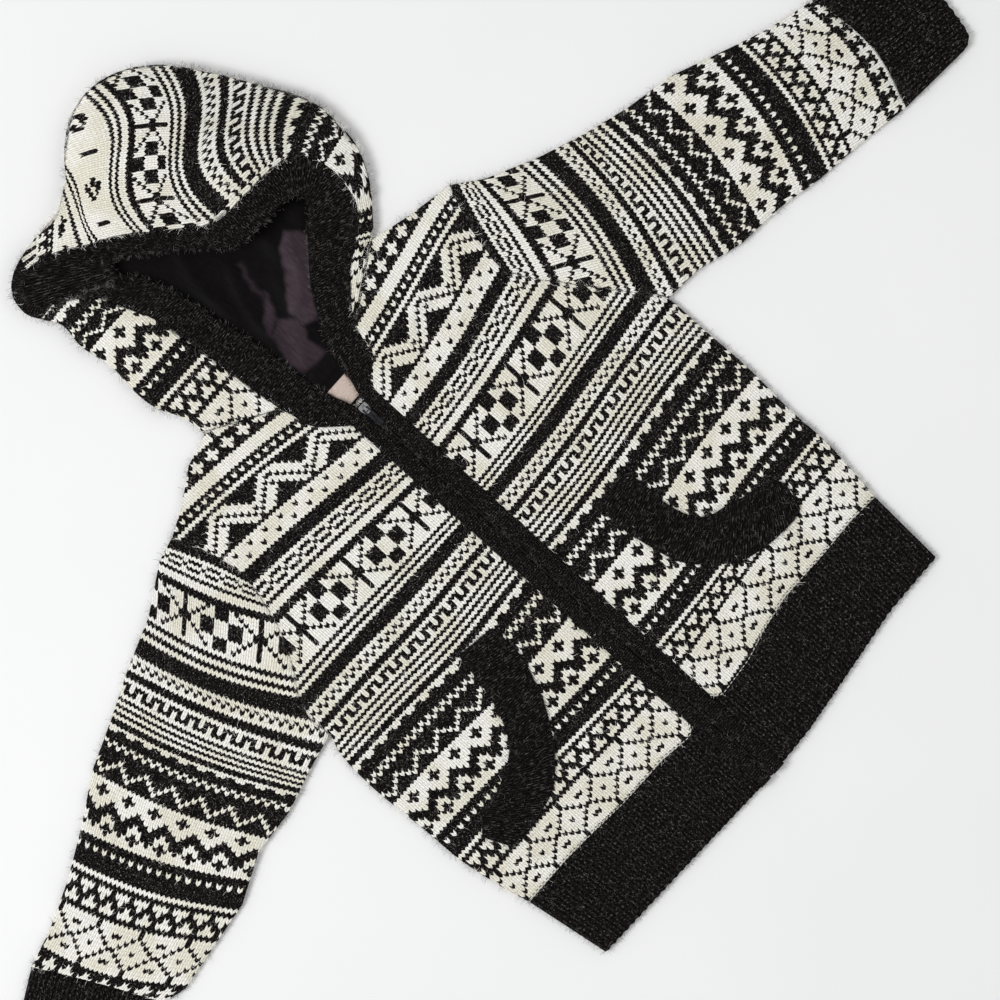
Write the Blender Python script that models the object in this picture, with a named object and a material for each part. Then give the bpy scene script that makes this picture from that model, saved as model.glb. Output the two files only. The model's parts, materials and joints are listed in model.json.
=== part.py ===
"""A hooded zip-up sweater, knitted in black and cream bands, laid flat on its back with the zip closed.

Tables are in millimetres: x runs to the viewer's right, y from the hem towards the hood, z up from the floor.
Each knitted piece is a closed wall. Pieces that are sewn together stand SEAM apart.
"""

import math

import bpy
import bmesh
from mathutils import Vector

MM = 0.001
ORIGIN_Y = 300.0
SEAM = 0.3
KNIT = 3.5
RIB = 4.0
LINING = 1.0
TAPE = 1.0

BACK_TOP = KNIT
EDGE_BOTTOM = BACK_TOP + SEAM
LINING_BOTTOM = BACK_TOP + SEAM
LINING_TOP = LINING_BOTTOM + LINING
FRONT_BOTTOM = LINING_TOP + SEAM
FRONT_TOP = FRONT_BOTTOM + KNIT
TAPE_BOTTOM = FRONT_BOTTOM
TAPE_TOP = TAPE_BOTTOM + TAPE
BAND_BOTTOM = TAPE_TOP + SEAM
BAND_WALL = RIB - 0.6
BAND_TOP = BAND_BOTTOM + BAND_WALL

# How high the underside lies at a folded edge, and how thick the wall is on that edge and beside it.
EDGE_LIFT = 1.3
EDGE_WALL = 1.6
BESIDE_EDGE_WALL = 3.4
HEM_EDGE_WALL = 2.0
RELIEF_INSET = 0.13

RIB_PITCH = 9.4
RIB_DEPTH = 0.9

RIB_FLOOR = FRONT_TOP - 0.4
SHOULDER_LIFT = 0.4

SLEEVE_HEIGHT = 10.4

# Rows of the body from the hem join to the shoulder tips: the left edge, the right edge, and y on the zip line.
BODY_ROWS = [
    {"left": (-256, 96), "right": (275, 110), "zip_y": 90},
    {"left": (-264, 130), "right": (279, 141), "zip_y": 128},
    {"left": (-271, 175), "right": (283, 180), "zip_y": 170},
    {"left": (-273, 228), "right": (283, 234), "zip_y": 226},
    {"left": (-276, 286), "right": (286, 290), "zip_y": 284},
    {"left": (-273, 332), "right": (285, 346), "zip_y": 332},
    {"left": (-265, 356), "right": (284, 396), "zip_y": 366},
    {"left": (-267, 378), "right": (272, 416), "zip_y": 392},
    {"left": (-258, 404), "right": (250, 447), "zip_y": 416},
    {"left": (-240, 427), "right": (228, 480), "zip_y": 444},
    {"left": (-221, 462), "right": (206, 513), "zip_y": 480},
    {"left": (-208, 503), "right": (195, 540), "zip_y": 514},
    {"left": (-204, 530), "right": (198, 562), "zip_y": 545},
    {"left": (-207, 550), "right": (201, 578), "zip_y": 562},
    {"left": (-211, 567), "right": (205, 592), "zip_y": 576},
    {"left": (-217, 588), "right": (213, 613), "zip_y": 600},
]
ARMPIT_ROW = 6
SHOULDER_TIPS = {"left": (-225, 604), "right": (222, 634)}
NECK_POINTS = {"left": (-124, 650), "right": (130, 655)}
NECK_FRONT = {"left": (-57, 609), "right": (56, 610)}

# The hem join and the hem's bottom edge, from left to right.
HEM_JOIN = [(-256, 96), (-200, 97), (-160, 95), (-120, 92), (-60, 92), (-25, 87), (25, 91), (70, 95),
            (100, 103), (140, 110), (200, 110), (240, 112), (275, 110)]
HEM_BOTTOM = [(-242, 5), (-120, 3), (0, 0), (60, 3), (150, 15), (200, 22), (271, 24)]
HEM_CORNERS = {"left": (-242, 5), "right": (271, 24)}

# The top edge of the back: shoulders, then the neck seam that the hood is sewn to.
BACK_TOP_EDGE = [(-225, 604), (-195, 618), (-160, 640), (-124, 650), (-90, 634), (-57, 622), (0, 613),
                 (56, 622), (95, 641), (130, 655), (175, 643), (222, 634)]

# Where the zip bands meet the fronts, and their inner edges beside the zip.
BAND_OUTER = [
    {"y": 0, "left": -16, "right": 17},
    {"y": 90, "left": -17, "right": 18},
    {"y": 300, "left": -19, "right": 19},
    {"y": 545, "left": -21, "right": 20},
    {"y": 562, "left": -38, "right": 23},
    {"y": 576, "left": -49, "right": 45},
    {"y": 600, "left": -54, "right": 52},
]
ZIP_SLIT = [
    {"y": 0, "half": 1.7},
    {"y": 515, "half": 1.7},
    {"y": 538, "half": 5.2},
    {"y": 545, "half": 5.2},
]
ZIP_START = 2.0
ZIP_END = 554.0
ZIP_BAND_END = 544.6
BAND_BEVEL = 1.6
ZIP_BAND_CROWN = [-1.4, 0.0, 0.5, 0.0, -1.4]
TAPE_HALF = 12.0
TEETH_HALF = 1.3
TEETH_TOP = TAPE_TOP + 1.5

# Soft ridges in the fronts: from one end to the other, half width and height.
RIDGES = [
    {"start": (60, 120), "end": (190, 150), "half_width": 32, "height": 2.2},
    {"start": (95, 190), "end": (165, 128), "half_width": 32, "height": 1.8},
    {"start": (-60, 560), "end": (-190, 600), "half_width": 24, "height": 2.4},
    {"start": (70, 565), "end": (185, 600), "half_width": 24, "height": 2.4},
    {"start": (-90, 470), "end": (-200, 380), "half_width": 30, "height": 1.8},
    {"start": (90, 480), "end": (215, 420), "half_width": 30, "height": 1.8},
    {"start": (-60, 330), "end": (-230, 300), "half_width": 34, "height": 1.4},
    {"start": (60, 350), "end": (240, 310), "half_width": 34, "height": 1.4},
    {"start": (-70, 150), "end": (-230, 120), "half_width": 26, "height": 1.3},
]

# The J-shaped pocket bands: outer edge and inner edge, from the top end to the side end.
POCKETS = {
    "left": [
        {"outer": (-118, 313), "inner": (-80, 307)},
        {"outer": (-122, 290), "inner": (-80, 276)},
        {"outer": (-128, 262), "inner": (-85, 255)},
        {"outer": (-135, 242), "inner": (-92, 238)},
        {"outer": (-143, 226), "inner": (-100, 220)},
        {"outer": (-153, 213), "inner": (-110, 204)},
        {"outer": (-168, 203), "inner": (-122, 188)},
        {"outer": (-184, 196), "inner": (-138, 171)},
        {"outer": (-204, 189), "inner": (-160, 155)},
        {"outer": (-226, 182), "inner": (-192, 148)},
        {"outer": (-238, 172), "inner": (-226, 145)},
    ],
    "right": [
        {"outer": (125, 313), "inner": (85, 310)},
        {"outer": (128, 285), "inner": (85, 277)},
        {"outer": (128, 262), "inner": (89, 252)},
        {"outer": (132, 243), "inner": (93, 233)},
        {"outer": (140, 226), "inner": (98, 215)},
        {"outer": (152, 218), "inner": (107, 200)},
        {"outer": (168, 213), "inner": (122, 183)},
        {"outer": (186, 206), "inner": (142, 168)},
        {"outer": (204, 200), "inner": (168, 160)},
        {"outer": (219, 193), "inner": (200, 157)},
        {"outer": (224, 182), "inner": (217, 160)},
    ],
}
POCKET_HEIGHT = 3.6
POCKET_LIFT = 0.7
POCKET_SHARES = [0, 0.05, 0.5, 0.95, 1]
POCKET_CROWN = [-1.6, 0.0, 0.4, 0.0, -1.6]

# Upper and lower edges of the sleeves, from the armhole to the cuff seam.
SLEEVE_EDGES = {
    "left": {
        "upper": [(-225, 604), (-250, 598), (-300, 568), (-350, 550), (-400, 528), (-450, 508), (-500, 478),
                  (-550, 452), (-600, 432), (-637, 422)],
        "lower": [(-265, 356), (-300, 348), (-350, 334), (-400, 330), (-450, 307), (-500, 300), (-550, 293),
                  (-575, 300)],
    },
    "right": {
        "upper": [(222, 634), (250, 612), (300, 587), (350, 568), (400, 553), (450, 543), (500, 522),
                  (550, 502), (605, 487)],
        "lower": [(284, 396), (325, 393), (375, 378), (425, 374), (475, 363), (525, 357), (585, 347)],
    },
}
SLEEVE_STATIONS = 13
CUFF_ENDS = {
    "left": {"upper": [(-637, 422), (-672, 402), (-707, 384)], "lower": [(-575, 300), (-609, 277), (-646, 266)]},
    "right": {"upper": [(605, 487), (652, 479), (701, 467)], "lower": [(585, 347), (628, 341), (680, 341)]},
}
CUFF_RIBS = 12
CUFF_PUFF = 0.4
CUFF_END_FADE = 0.4
INNER_REACH = 1.6
ARMHOLE_STAY = 0.45

# The hood from the left neck point round the crown to the right neck point. fold is the outline, face is where
# the face band is sewn on, and the heights are those of the middle of the wall at the fold's top, at the face
# edge, and added between them.
HOOD_ROWS = [
    {"fold": (-126, 653), "face": (-57, 610), "fold_top": 7.0, "face_z": 6.9, "bulge": 0.0},
    {"fold": (-128, 676), "face": (-61, 650), "fold_top": 10.0, "face_z": 10.0, "bulge": 2.0},
    {"fold": (-139, 703), "face": (-64, 690), "fold_top": 13.0, "face_z": 13.0, "bulge": 3.0},
    {"fold": (-141, 732), "face": (-68, 725), "fold_top": 14.0, "face_z": 15.0, "bulge": 4.0},
    {"fold": (-138, 762), "face": (-73, 760), "fold_top": 14.0, "face_z": 17.0, "bulge": 4.0},
    {"fold": (-143, 797), "face": (-84, 788), "fold_top": 14.0, "face_z": 18.0, "bulge": 3.0},
    {"fold": (-140, 826), "face": (-97, 822), "fold_top": 15.0, "face_z": 19.0, "bulge": 2.0},
    {"fold": (-150, 847), "face": (-138, 852), "fold_top": 16.0, "face_z": 19.0, "bulge": 0.0},
    {"fold": (-156, 864), "face": (-143, 864), "fold_top": 17.0, "face_z": 20.0, "bulge": 0.0},
    {"fold": (-149, 886), "face": (-139, 877), "fold_top": 18.0, "face_z": 22.0, "bulge": 0.0},
    {"fold": (-125, 900), "face": (-120, 886), "fold_top": 19.0, "face_z": 24.0, "bulge": 0.0},
    {"fold": (-90, 904), "face": (-90, 878), "fold_top": 20.0, "face_z": 27.0, "bulge": 2.0},
    {"fold": (-55, 902), "face": (-60, 857), "fold_top": 20.0, "face_z": 30.0, "bulge": 5.0},
    {"fold": (-30, 921), "face": (-38, 843), "fold_top": 20.0, "face_z": 33.0, "bulge": 9.0},
    {"fold": (-6, 944), "face": (-15, 823), "fold_top": 20.0, "face_z": 35.0, "bulge": 13.0},
    {"fold": (26, 961), "face": (5, 805), "fold_top": 20.0, "face_z": 36.0, "bulge": 16.0},
    {"fold": (64, 961), "face": (22, 789), "fold_top": 20.0, "face_z": 36.0, "bulge": 18.0},
    {"fold": (101, 943), "face": (38, 779), "fold_top": 20.0, "face_z": 36.0, "bulge": 18.0},
    {"fold": (130, 911), "face": (56, 776), "fold_top": 20.0, "face_z": 36.0, "bulge": 17.0},
    {"fold": (151, 871), "face": (78, 775), "fold_top": 20.0, "face_z": 35.0, "bulge": 14.0},
    {"fold": (172, 834), "face": (101, 775), "fold_top": 19.0, "face_z": 34.0, "bulge": 10.0},
    {"fold": (189, 800), "face": (125, 772), "fold_top": 18.0, "face_z": 31.0, "bulge": 6.0},
    {"fold": (194, 766), "face": (146, 760), "fold_top": 17.0, "face_z": 26.0, "bulge": 3.0},
    {"fold": (189, 728), "face": (155, 727), "fold_top": 15.0, "face_z": 20.0, "bulge": 2.0},
    {"fold": (174, 699), "face": (150, 700), "fold_top": 13.0, "face_z": 16.0, "bulge": 1.0},
    {"fold": (160, 682), "face": (142, 684), "fold_top": 11.0, "face_z": 13.0, "bulge": 0.0},
    {"fold": (149, 672), "face": (120, 668), "fold_top": 9.0, "face_z": 10.0, "bulge": 0.0},
    {"fold": (140, 664), "face": (90, 649), "fold_top": 8.8, "face_z": 8.5, "bulge": 0.0},
    {"fold": (133, 659), "face": (56, 612), "fold_top": 8.4, "face_z": 7.4, "bulge": 0.0},
]

# The face band from the top of the left zip band round the face to the right one: sewn edge, free edge, and the
# height of the wall's underside at each.
FACE_BAND_ROWS = [
    {"sewn": (-21, 545), "free": (-5.4, 545), "sewn_z": 6.4, "free_z": 6.4},
    {"sewn": (-38, 562), "free": (-7, 563), "sewn_z": 6.4, "free_z": 6.4},
    {"sewn": (-49, 576), "free": (-11, 575), "sewn_z": 6.0, "free_z": 6.4},
    {"sewn": (-54, 600), "free": (-17, 598), "sewn_z": 5.6, "free_z": 6.6},
    {"sewn": (-57, 610), "free": (-19, 611), "sewn_z": 5.4, "free_z": 7.0},
    {"sewn": (-61, 650), "free": (-22, 650), "sewn_z": 8.4, "free_z": 8.4},
    {"sewn": (-64, 690), "free": (-28, 690), "sewn_z": 11.4, "free_z": 10.0},
    {"sewn": (-68, 725), "free": (-34, 724), "sewn_z": 13.4, "free_z": 11.0},
    {"sewn": (-73, 760), "free": (-39, 756), "sewn_z": 15.4, "free_z": 12.0},
    {"sewn": (-84, 788), "free": (-45, 780), "sewn_z": 16.4, "free_z": 13.0},
    {"sewn": (-97, 822), "free": (-52, 799), "sewn_z": 17.4, "free_z": 14.0},
    {"sewn": (-138, 852), "free": (-62, 812), "sewn_z": 17.4, "free_z": 15.0},
    {"sewn": (-143, 864), "free": (-66, 820), "sewn_z": 18.4, "free_z": 16.0},
    {"sewn": (-139, 877), "free": (-64, 828), "sewn_z": 20.4, "free_z": 17.0},
    {"sewn": (-120, 886), "free": (-58, 832), "sewn_z": 22.4, "free_z": 18.0},
    {"sewn": (-90, 878), "free": (-50, 828), "sewn_z": 25.4, "free_z": 20.0},
    {"sewn": (-60, 857), "free": (-38, 817), "sewn_z": 28.4, "free_z": 23.0},
    {"sewn": (-38, 843), "free": (-22, 803), "sewn_z": 31.4, "free_z": 26.0},
    {"sewn": (-15, 823), "free": (-2, 786), "sewn_z": 33.4, "free_z": 28.0},
    {"sewn": (5, 805), "free": (13, 769), "sewn_z": 34.4, "free_z": 29.0},
    {"sewn": (22, 789), "free": (26, 755), "sewn_z": 34.4, "free_z": 30.0},
    {"sewn": (38, 779), "free": (40, 747), "sewn_z": 34.4, "free_z": 30.0},
    {"sewn": (56, 776), "free": (56, 745), "sewn_z": 34.4, "free_z": 30.0},
    {"sewn": (78, 775), "free": (78, 744), "sewn_z": 33.4, "free_z": 29.0},
    {"sewn": (101, 775), "free": (98, 743), "sewn_z": 32.4, "free_z": 27.0},
    {"sewn": (125, 772), "free": (110, 740), "sewn_z": 29.4, "free_z": 24.0},
    {"sewn": (146, 760), "free": (114, 735), "sewn_z": 24.4, "free_z": 20.0},
    {"sewn": (155, 727), "free": (112, 724), "sewn_z": 18.4, "free_z": 16.0},
    {"sewn": (150, 700), "free": (100, 714), "sewn_z": 14.4, "free_z": 13.0},
    {"sewn": (142, 684), "free": (90, 705), "sewn_z": 11.4, "free_z": 11.6},
    {"sewn": (120, 668), "free": (75, 690), "sewn_z": 8.6, "free_z": 10.0},
    {"sewn": (90, 649), "free": (50, 663), "sewn_z": 7.0, "free_z": 8.4},
    {"sewn": (56, 612), "free": (22, 614), "sewn_z": 5.6, "free_z": 7.0},
    {"sewn": (52, 600), "free": (18, 598), "sewn_z": 5.6, "free_z": 6.6},
    {"sewn": (45, 576), "free": (11, 575), "sewn_z": 6.0, "free_z": 6.4},
    {"sewn": (23, 562), "free": (7, 563), "sewn_z": 6.4, "free_z": 6.4},
    {"sewn": (20, 545), "free": (5.4, 545), "sewn_z": 6.4, "free_z": 6.4},
]
FACE_BAND_SHARES = [0, 0.06, 0.5, 0.94, 1]
FACE_BAND_CROWN = [-1.5, 0.0, 0.6, 0.0, -1.5]

# The satin lining that shows at the back of the neck and inside the hood, from left to right.
LINING_ROWS = [
    {"y": 559, "left": -34, "right": 34},
    {"y": 612, "left": -50, "right": 50},
    {"y": 645, "left": -96, "right": 100},
    {"y": 700, "left": -116, "right": 148},
    {"y": 760, "left": -118, "right": 166},
    {"y": 810, "left": -118, "right": 150},
    {"y": 850, "left": -100, "right": 132},
    {"y": 890, "left": -40, "right": 110},
    {"y": 925, "left": 0, "right": 80},
]

LINING_STEPS = 8

LABEL = {"x": (-14, 12), "y": (561, 586), "thick": 0.6}

SLIDER_Y = (541.0, 552.5)
SLIDER_HALF = {"narrow": 3.4, "wide": 4.8}
SLIDER_TAPER = 6.5
SLIDER_CORNER = 0.9
SLIDER_Z = (TEETH_TOP + SEAM, TEETH_TOP + SEAM + 2.4)
PIVOT_Y = 546.8
PIVOT_Z = SLIDER_Z[1] + 1.1
ARCH_HALF_LENGTH = 3.7
ARCH_HALF_WIDTH = 1.3
ARCH_ROOM = 2.5
ARCH_THICK = 1.0
ARCH_SUNK = 0.6
PULL_THICK = 1.2
PULL_HALF = 3.6
PULL_ARM = 1.5
PULL_WINDOW = 5.6
PULL_LENGTH = 23.0


def place(x, y, z):
    """A point of the tables as a point of the part, in metres."""
    return Vector((x * MM, (y - ORIGIN_Y) * MM, z * MM))


def mix(a, b, t):
    return a + (b - a) * t


def mix_points(a, b, t):
    return tuple(mix(p, q, t) for p, q in zip(a, b))


def smooth(t):
    t = min(1.0, max(0.0, t))
    return t * t * (3 - 2 * t)


def height_on(line, x):
    """y on a line of points that run from left to right."""
    for (x0, y0), (x1, y1) in zip(line, line[1:]):
        if x <= x1:
            return mix(y0, y1, max(0.0, (x - x0) / (x1 - x0)))
    return line[-1][1]


def table_value(rows, column, y):
    """A column of a table whose rows are sorted by y."""
    for low, high in zip(rows, rows[1:]):
        if y <= high["y"]:
            return mix(low[column], high[column], max(0.0, (y - low["y"]) / (high["y"] - low["y"])))
    return rows[-1][column]


def lengths_along(line):
    total = [0.0]
    for a, b in zip(line, line[1:]):
        total.append(total[-1] + math.dist(a, b))
    return total


def point_along(line, share):
    """The point at that share of a line's length."""
    total = lengths_along(line)
    wanted = share * total[-1]
    for i in range(1, len(line)):
        if wanted <= total[i] or i == len(line) - 1:
            span = max(total[i] - total[i - 1], 1e-9)
            return mix_points(line[i - 1], line[i], (wanted - total[i - 1]) / span)


def relief(x, y):
    """How far the soft ridges lift a front at that point."""
    lift = 0.0
    for ridge in RIDGES:
        (x0, y0), (x1, y1) = ridge["start"], ridge["end"]
        run_x, run_y = x1 - x0, y1 - y0
        along = ((x - x0) * run_x + (y - y0) * run_y) / (run_x ** 2 + run_y ** 2)
        near = min(1.0, max(0.0, along))
        off = math.dist((x, y), (x0 + near * run_x, y0 + near * run_y))
        taper = 0.35 + 0.65 * math.sin(math.pi * near)
        lift += ridge["height"] * taper * (1 - smooth(off / ridge["half_width"]))
    return lift


def material(name, color, roughness, metallic=0.0):
    made = bpy.data.materials.new(name)
    made.use_nodes = True
    shader = made.node_tree.nodes["Principled BSDF"]
    shader.inputs["Base Color"].default_value = (*color, 1)
    shader.inputs["Roughness"].default_value = roughness
    shader.inputs["Metallic"].default_value = metallic
    return made


def new_object(name, points, faces, finish):
    """A closed object from points in table millimetres, with its faces turned outwards."""
    mesh = bpy.data.meshes.new(name)
    mesh.from_pydata([place(*p) for p in points], [], faces)
    work = bmesh.new()
    work.from_mesh(mesh)
    bmesh.ops.recalc_face_normals(work, faces=work.faces)
    bmesh.ops.triangulate(work, faces=work.faces)
    work.to_mesh(mesh)
    work.free()
    mesh.materials.append(finish)
    mesh.shade_smooth()
    mesh.set_sharp_from_angle(angle=math.radians(50))
    made = bpy.data.objects.new(name, mesh)
    bpy.context.scene.collection.objects.link(made)
    return made


def wall(name, top, bottom, finish):
    """A closed wall between two grids of points that have the same rows and columns."""
    rows, columns = len(top), len(top[0])
    points = [p for row in top for p in row] + [p for row in bottom for p in row]
    under = rows * columns
    faces = []
    for i in range(rows - 1):
        for j in range(columns - 1):
            a = i * columns + j
            b, c, d = a + 1, a + columns + 1, a + columns
            faces.append((a, b, c, d))
            faces.append((under + d, under + c, under + b, under + a))
    rim = [j for j in range(columns)]
    rim += [i * columns + columns - 1 for i in range(1, rows)]
    rim += [(rows - 1) * columns + j for j in range(columns - 2, -1, -1)]
    rim += [i * columns for i in range(rows - 2, 0, -1)]
    for a, b in zip(rim, rim[1:] + rim[:1]):
        faces.append((b, a, under + a, under + b))
    return new_object(name, points, faces, finish)


def tube(name, outer, inner, finish):
    """A closed tube wall from outer rings and inner rings, open at both ends."""
    count = len(outer[0])
    points = [p for ring in outer + inner for p in ring]
    shift = len(outer) * count
    faces = []
    for start, rings in ((0, outer), (shift, inner)):
        for i in range(len(rings) - 1):
            for j in range(count):
                k = (j + 1) % count
                a, b = start + i * count + j, start + i * count + k
                faces.append((a, b, b + count, a + count))
    for end_outer, end_inner in ((0, shift), (shift - count, shift + (len(inner) - 1) * count)):
        for j in range(count):
            k = (j + 1) % count
            faces.append((end_outer + j, end_outer + k, end_inner + k, end_inner + j))
    return new_object(name, points, faces, finish)


def body_edge(row, side):
    """The outer edge point of a body row, or of the shoulder tip past the last row."""
    if row >= len(BODY_ROWS):
        return SHOULDER_TIPS[side]
    return BODY_ROWS[row][side]


BACK_COLUMNS = [0, 0.008, 0.05, 0.14, 0.226, 0.34, 0.42, 0.5, 0.58, 0.68, 0.794, 0.86, 0.95, 0.992, 1]
FRONT_COLUMNS = [0, 0.012, 0.05, 0.13, 0.22, 0.31, 0.41, 0.5, 0.6, 0.7, 0.8, 0.9, 1]
NECK_COLUMN = 0.6


def back_point(row, share):
    """A point of the back in plan, from the left edge to the right edge."""
    left, right = body_edge(row, "left"), body_edge(row, "right")
    x = mix(left[0], right[0], share)
    if row == 0:
        return x, height_on(HEM_JOIN, x) + SEAM
    if row >= len(BODY_ROWS):
        return x, height_on(BACK_TOP_EDGE, x)
    bend = BODY_ROWS[row]["zip_y"] - (left[1] + right[1]) / 2
    return x, mix(left[1], right[1], share) + bend * math.sin(math.pi * share)


def rounding(row, share):
    """1 at a folded side edge and 0 at an edge that a sleeve is sewn to, or away from the edges."""
    if row > ARMPIT_ROW and row < len(BODY_ROWS):
        return 0.0
    return 1.0 if share in (0, 1) else 0.0


def build_back(finish):
    top, bottom = [], []
    for row in range(len(BODY_ROWS) + 1):
        plan = [back_point(row, share) for share in BACK_COLUMNS]
        lifted = [EDGE_LIFT * rounding(row, share) for share in BACK_COLUMNS]
        top.append([(x, y, BACK_TOP) for x, y in plan])
        bottom.append([(x, y, z) for (x, y), z in zip(plan, lifted)])
    return wall("back_panel", top, bottom, finish)


def front_point(side, row, share):
    """A point of a front in plan, from its outer edge to its zip band."""
    edge = body_edge(row, side)
    if row >= len(BODY_ROWS):
        neck, band = NECK_POINTS[side], NECK_FRONT[side]
        if share <= NECK_COLUMN:
            x = mix(edge[0], neck[0], share / NECK_COLUMN)
            return x, height_on(BACK_TOP_EDGE, x)
        return mix_points(neck, band, (share - NECK_COLUMN) / (1 - NECK_COLUMN))
    turn = -1 if side == "left" else 1
    zip_y = BODY_ROWS[row]["zip_y"]
    x = mix(edge[0], table_value(BAND_OUTER, side, zip_y) + turn * SEAM, share)
    if row == 0:
        return x, height_on(HEM_JOIN, x) + SEAM
    return x, mix(edge[1], zip_y, math.sin(share * math.pi / 2))


def front_heights(row, share, x, y):
    """Underside and top of a front at a point."""
    seam_row = ARMPIT_ROW < row < len(BODY_ROWS)
    last = row == len(BODY_ROWS)
    if share == 0 and not seam_row:
        return EDGE_BOTTOM, EDGE_BOTTOM + EDGE_WALL
    if share == FRONT_COLUMNS[1] and not seam_row:
        return EDGE_BOTTOM, EDGE_BOTTOM + BESIDE_EDGE_WALL
    if last and share <= NECK_COLUMN:
        return EDGE_BOTTOM + SHOULDER_LIFT, EDGE_BOTTOM + BESIDE_EDGE_WALL
    inset = smooth(share / RELIEF_INSET) if not last else 0.0
    lift = relief(x, y) * inset
    return FRONT_BOTTOM + lift, FRONT_TOP + lift


def build_front(side, finish):
    top, bottom = [], []
    for row in range(len(BODY_ROWS) + 1):
        top.append([])
        bottom.append([])
        for share in FRONT_COLUMNS:
            x, y = front_point(side, row, share)
            low, high = front_heights(row, share, x, y)
            top[-1].append((x, y, high))
            bottom[-1].append((x, y, low))
    return wall(f"front_{side}", top, bottom, finish)


def rib_stops(count):
    """Shares of a length where the corners of that many ribs lie, each with its lift."""
    stops = [(0.0, 0.0)]
    for i in range(count):
        for at, lift in ((0.2, 0.0), (0.35, RIB_DEPTH), (0.65, RIB_DEPTH), (0.8, 0.0)):
            stops.append(((i + at) / count, lift))
    stops.append((1.0, 0.0))
    return stops


def hem_ends(side):
    """The x of a front hem's outer and inner edges, at the join and at the bottom."""
    turn = -1 if side == "left" else 1
    join = (BODY_ROWS[0][side][0], table_value(BAND_OUTER, side, 90) + turn * SEAM)
    low = (HEM_CORNERS[side][0], table_value(BAND_OUTER, side, 0) + turn * SEAM)
    return join, low


def build_front_hem(side, finish):
    join, low = hem_ends(side)
    seam_line = sorted(front_point(side, 0, share) for share in FRONT_COLUMNS)
    stops = rib_stops(round(abs(join[1] - join[0]) / RIB_PITCH))
    top, bottom = [], []
    for level, lift_share in ((0.0, 0.4), (0.04, 1.0), (1.0, 0.7)):
        top.append([])
        bottom.append([])
        for share, lift in stops:
            upper_x, lower_x = mix(*join, share), mix(*low, share)
            x = mix(lower_x, upper_x, level)
            y = mix(height_on(HEM_BOTTOM, lower_x), height_on(seam_line, upper_x) - 2 * SEAM, level)
            side_edge = share == 0
            low_z = EDGE_BOTTOM if side_edge or level == 0 else FRONT_BOTTOM
            high_z = EDGE_BOTTOM + HEM_EDGE_WALL if side_edge or level == 0 else RIB_FLOOR + lift * lift_share
            top[-1].append((x, y, high_z))
            bottom[-1].append((x, y, low_z))
    return wall(f"hem_front_{side}", top, bottom, finish)


def build_back_hem(finish):
    top, bottom = [], []
    for level in (0.0, 0.03, 1.0):
        top.append([])
        bottom.append([])
        for share in BACK_COLUMNS:
            upper_x = mix(BODY_ROWS[0]["left"][0], BODY_ROWS[0]["right"][0], share)
            lower_x = mix(HEM_CORNERS["left"][0], HEM_CORNERS["right"][0], share)
            x = mix(lower_x, upper_x, level)
            y = mix(height_on(HEM_BOTTOM, lower_x), height_on(HEM_JOIN, upper_x) - SEAM, level)
            round_edge = share in (0, 1) or level == 0
            top[-1].append((x, y, BACK_TOP))
            bottom[-1].append((x, y, EDGE_LIFT if round_edge else 0.0))
    return wall("hem_back", top, bottom, finish)


def build_zip_band(side, finish):
    turn = -1 if side == "left" else 1
    levels = [0, 45, 90, 200, 300, 400, 470, 515, 530, 538, ZIP_BAND_END]
    top, bottom = [], []
    for y in levels:
        outer = table_value(BAND_OUTER, side, y)
        inner = turn * table_value(ZIP_SLIT, "half", y)
        xs = [outer, outer - turn * BAND_BEVEL, mix(outer, inner, 0.5), inner + turn * BAND_BEVEL, inner]
        top.append([(x, y, BAND_TOP + lift) for x, lift in zip(xs, ZIP_BAND_CROWN)])
        bottom.append([(x, y, BAND_BOTTOM) for x in xs])
    return wall(f"zip_band_{side}", top, bottom, finish)


def build_zip(finish):
    """The zip's tape with its closed row of teeth, as one T-shaped bar under the bands."""
    section = [(-TAPE_HALF, TAPE_BOTTOM), (TAPE_HALF, TAPE_BOTTOM), (TAPE_HALF, TAPE_TOP),
               (TEETH_HALF, TAPE_TOP), (TEETH_HALF, TEETH_TOP), (-TEETH_HALF, TEETH_TOP),
               (-TEETH_HALF, TAPE_TOP), (-TAPE_HALF, TAPE_TOP)]
    points = [(x, y, z) for y in (ZIP_START, ZIP_END) for x, z in section]
    count = len(section)
    faces = [tuple(range(count)), tuple(range(2 * count - 1, count - 1, -1))]
    for i in range(count):
        j = (i + 1) % count
        faces.append((i, i + count, j + count, j))
    return new_object("zip_chain", points, faces, finish)


def build_pocket_band(side, finish):
    top, bottom = [], []
    for row in POCKETS[side]:
        top.append([])
        bottom.append([])
        for share, lift in zip(POCKET_SHARES, POCKET_CROWN):
            x, y = mix_points(row["outer"], row["inner"], share)
            base = FRONT_TOP + relief(x, y) + POCKET_LIFT
            top[-1].append((x, y, base + POCKET_HEIGHT + lift))
            bottom[-1].append((x, y, base))
    return wall(f"pocket_band_{side}", top, bottom, finish)


def armhole_line(side):
    """The armhole seam from the armpit to the shoulder tip."""
    return [BODY_ROWS[i][side] for i in range(ARMPIT_ROW, len(BODY_ROWS))] + [SHOULDER_TIPS[side]]


def layer_stops(line, inset, reach):
    """Shares of a line with extra stops near its two ends, where a flattened tube turns over."""
    total = lengths_along(line)
    whole = total[-1]
    near = [inset, inset + 0.3 * reach, inset + reach]
    return [s / whole for s in near] + [s / whole for s in total[1:-1]] + [1 - s / whole for s in near[::-1]]


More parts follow.
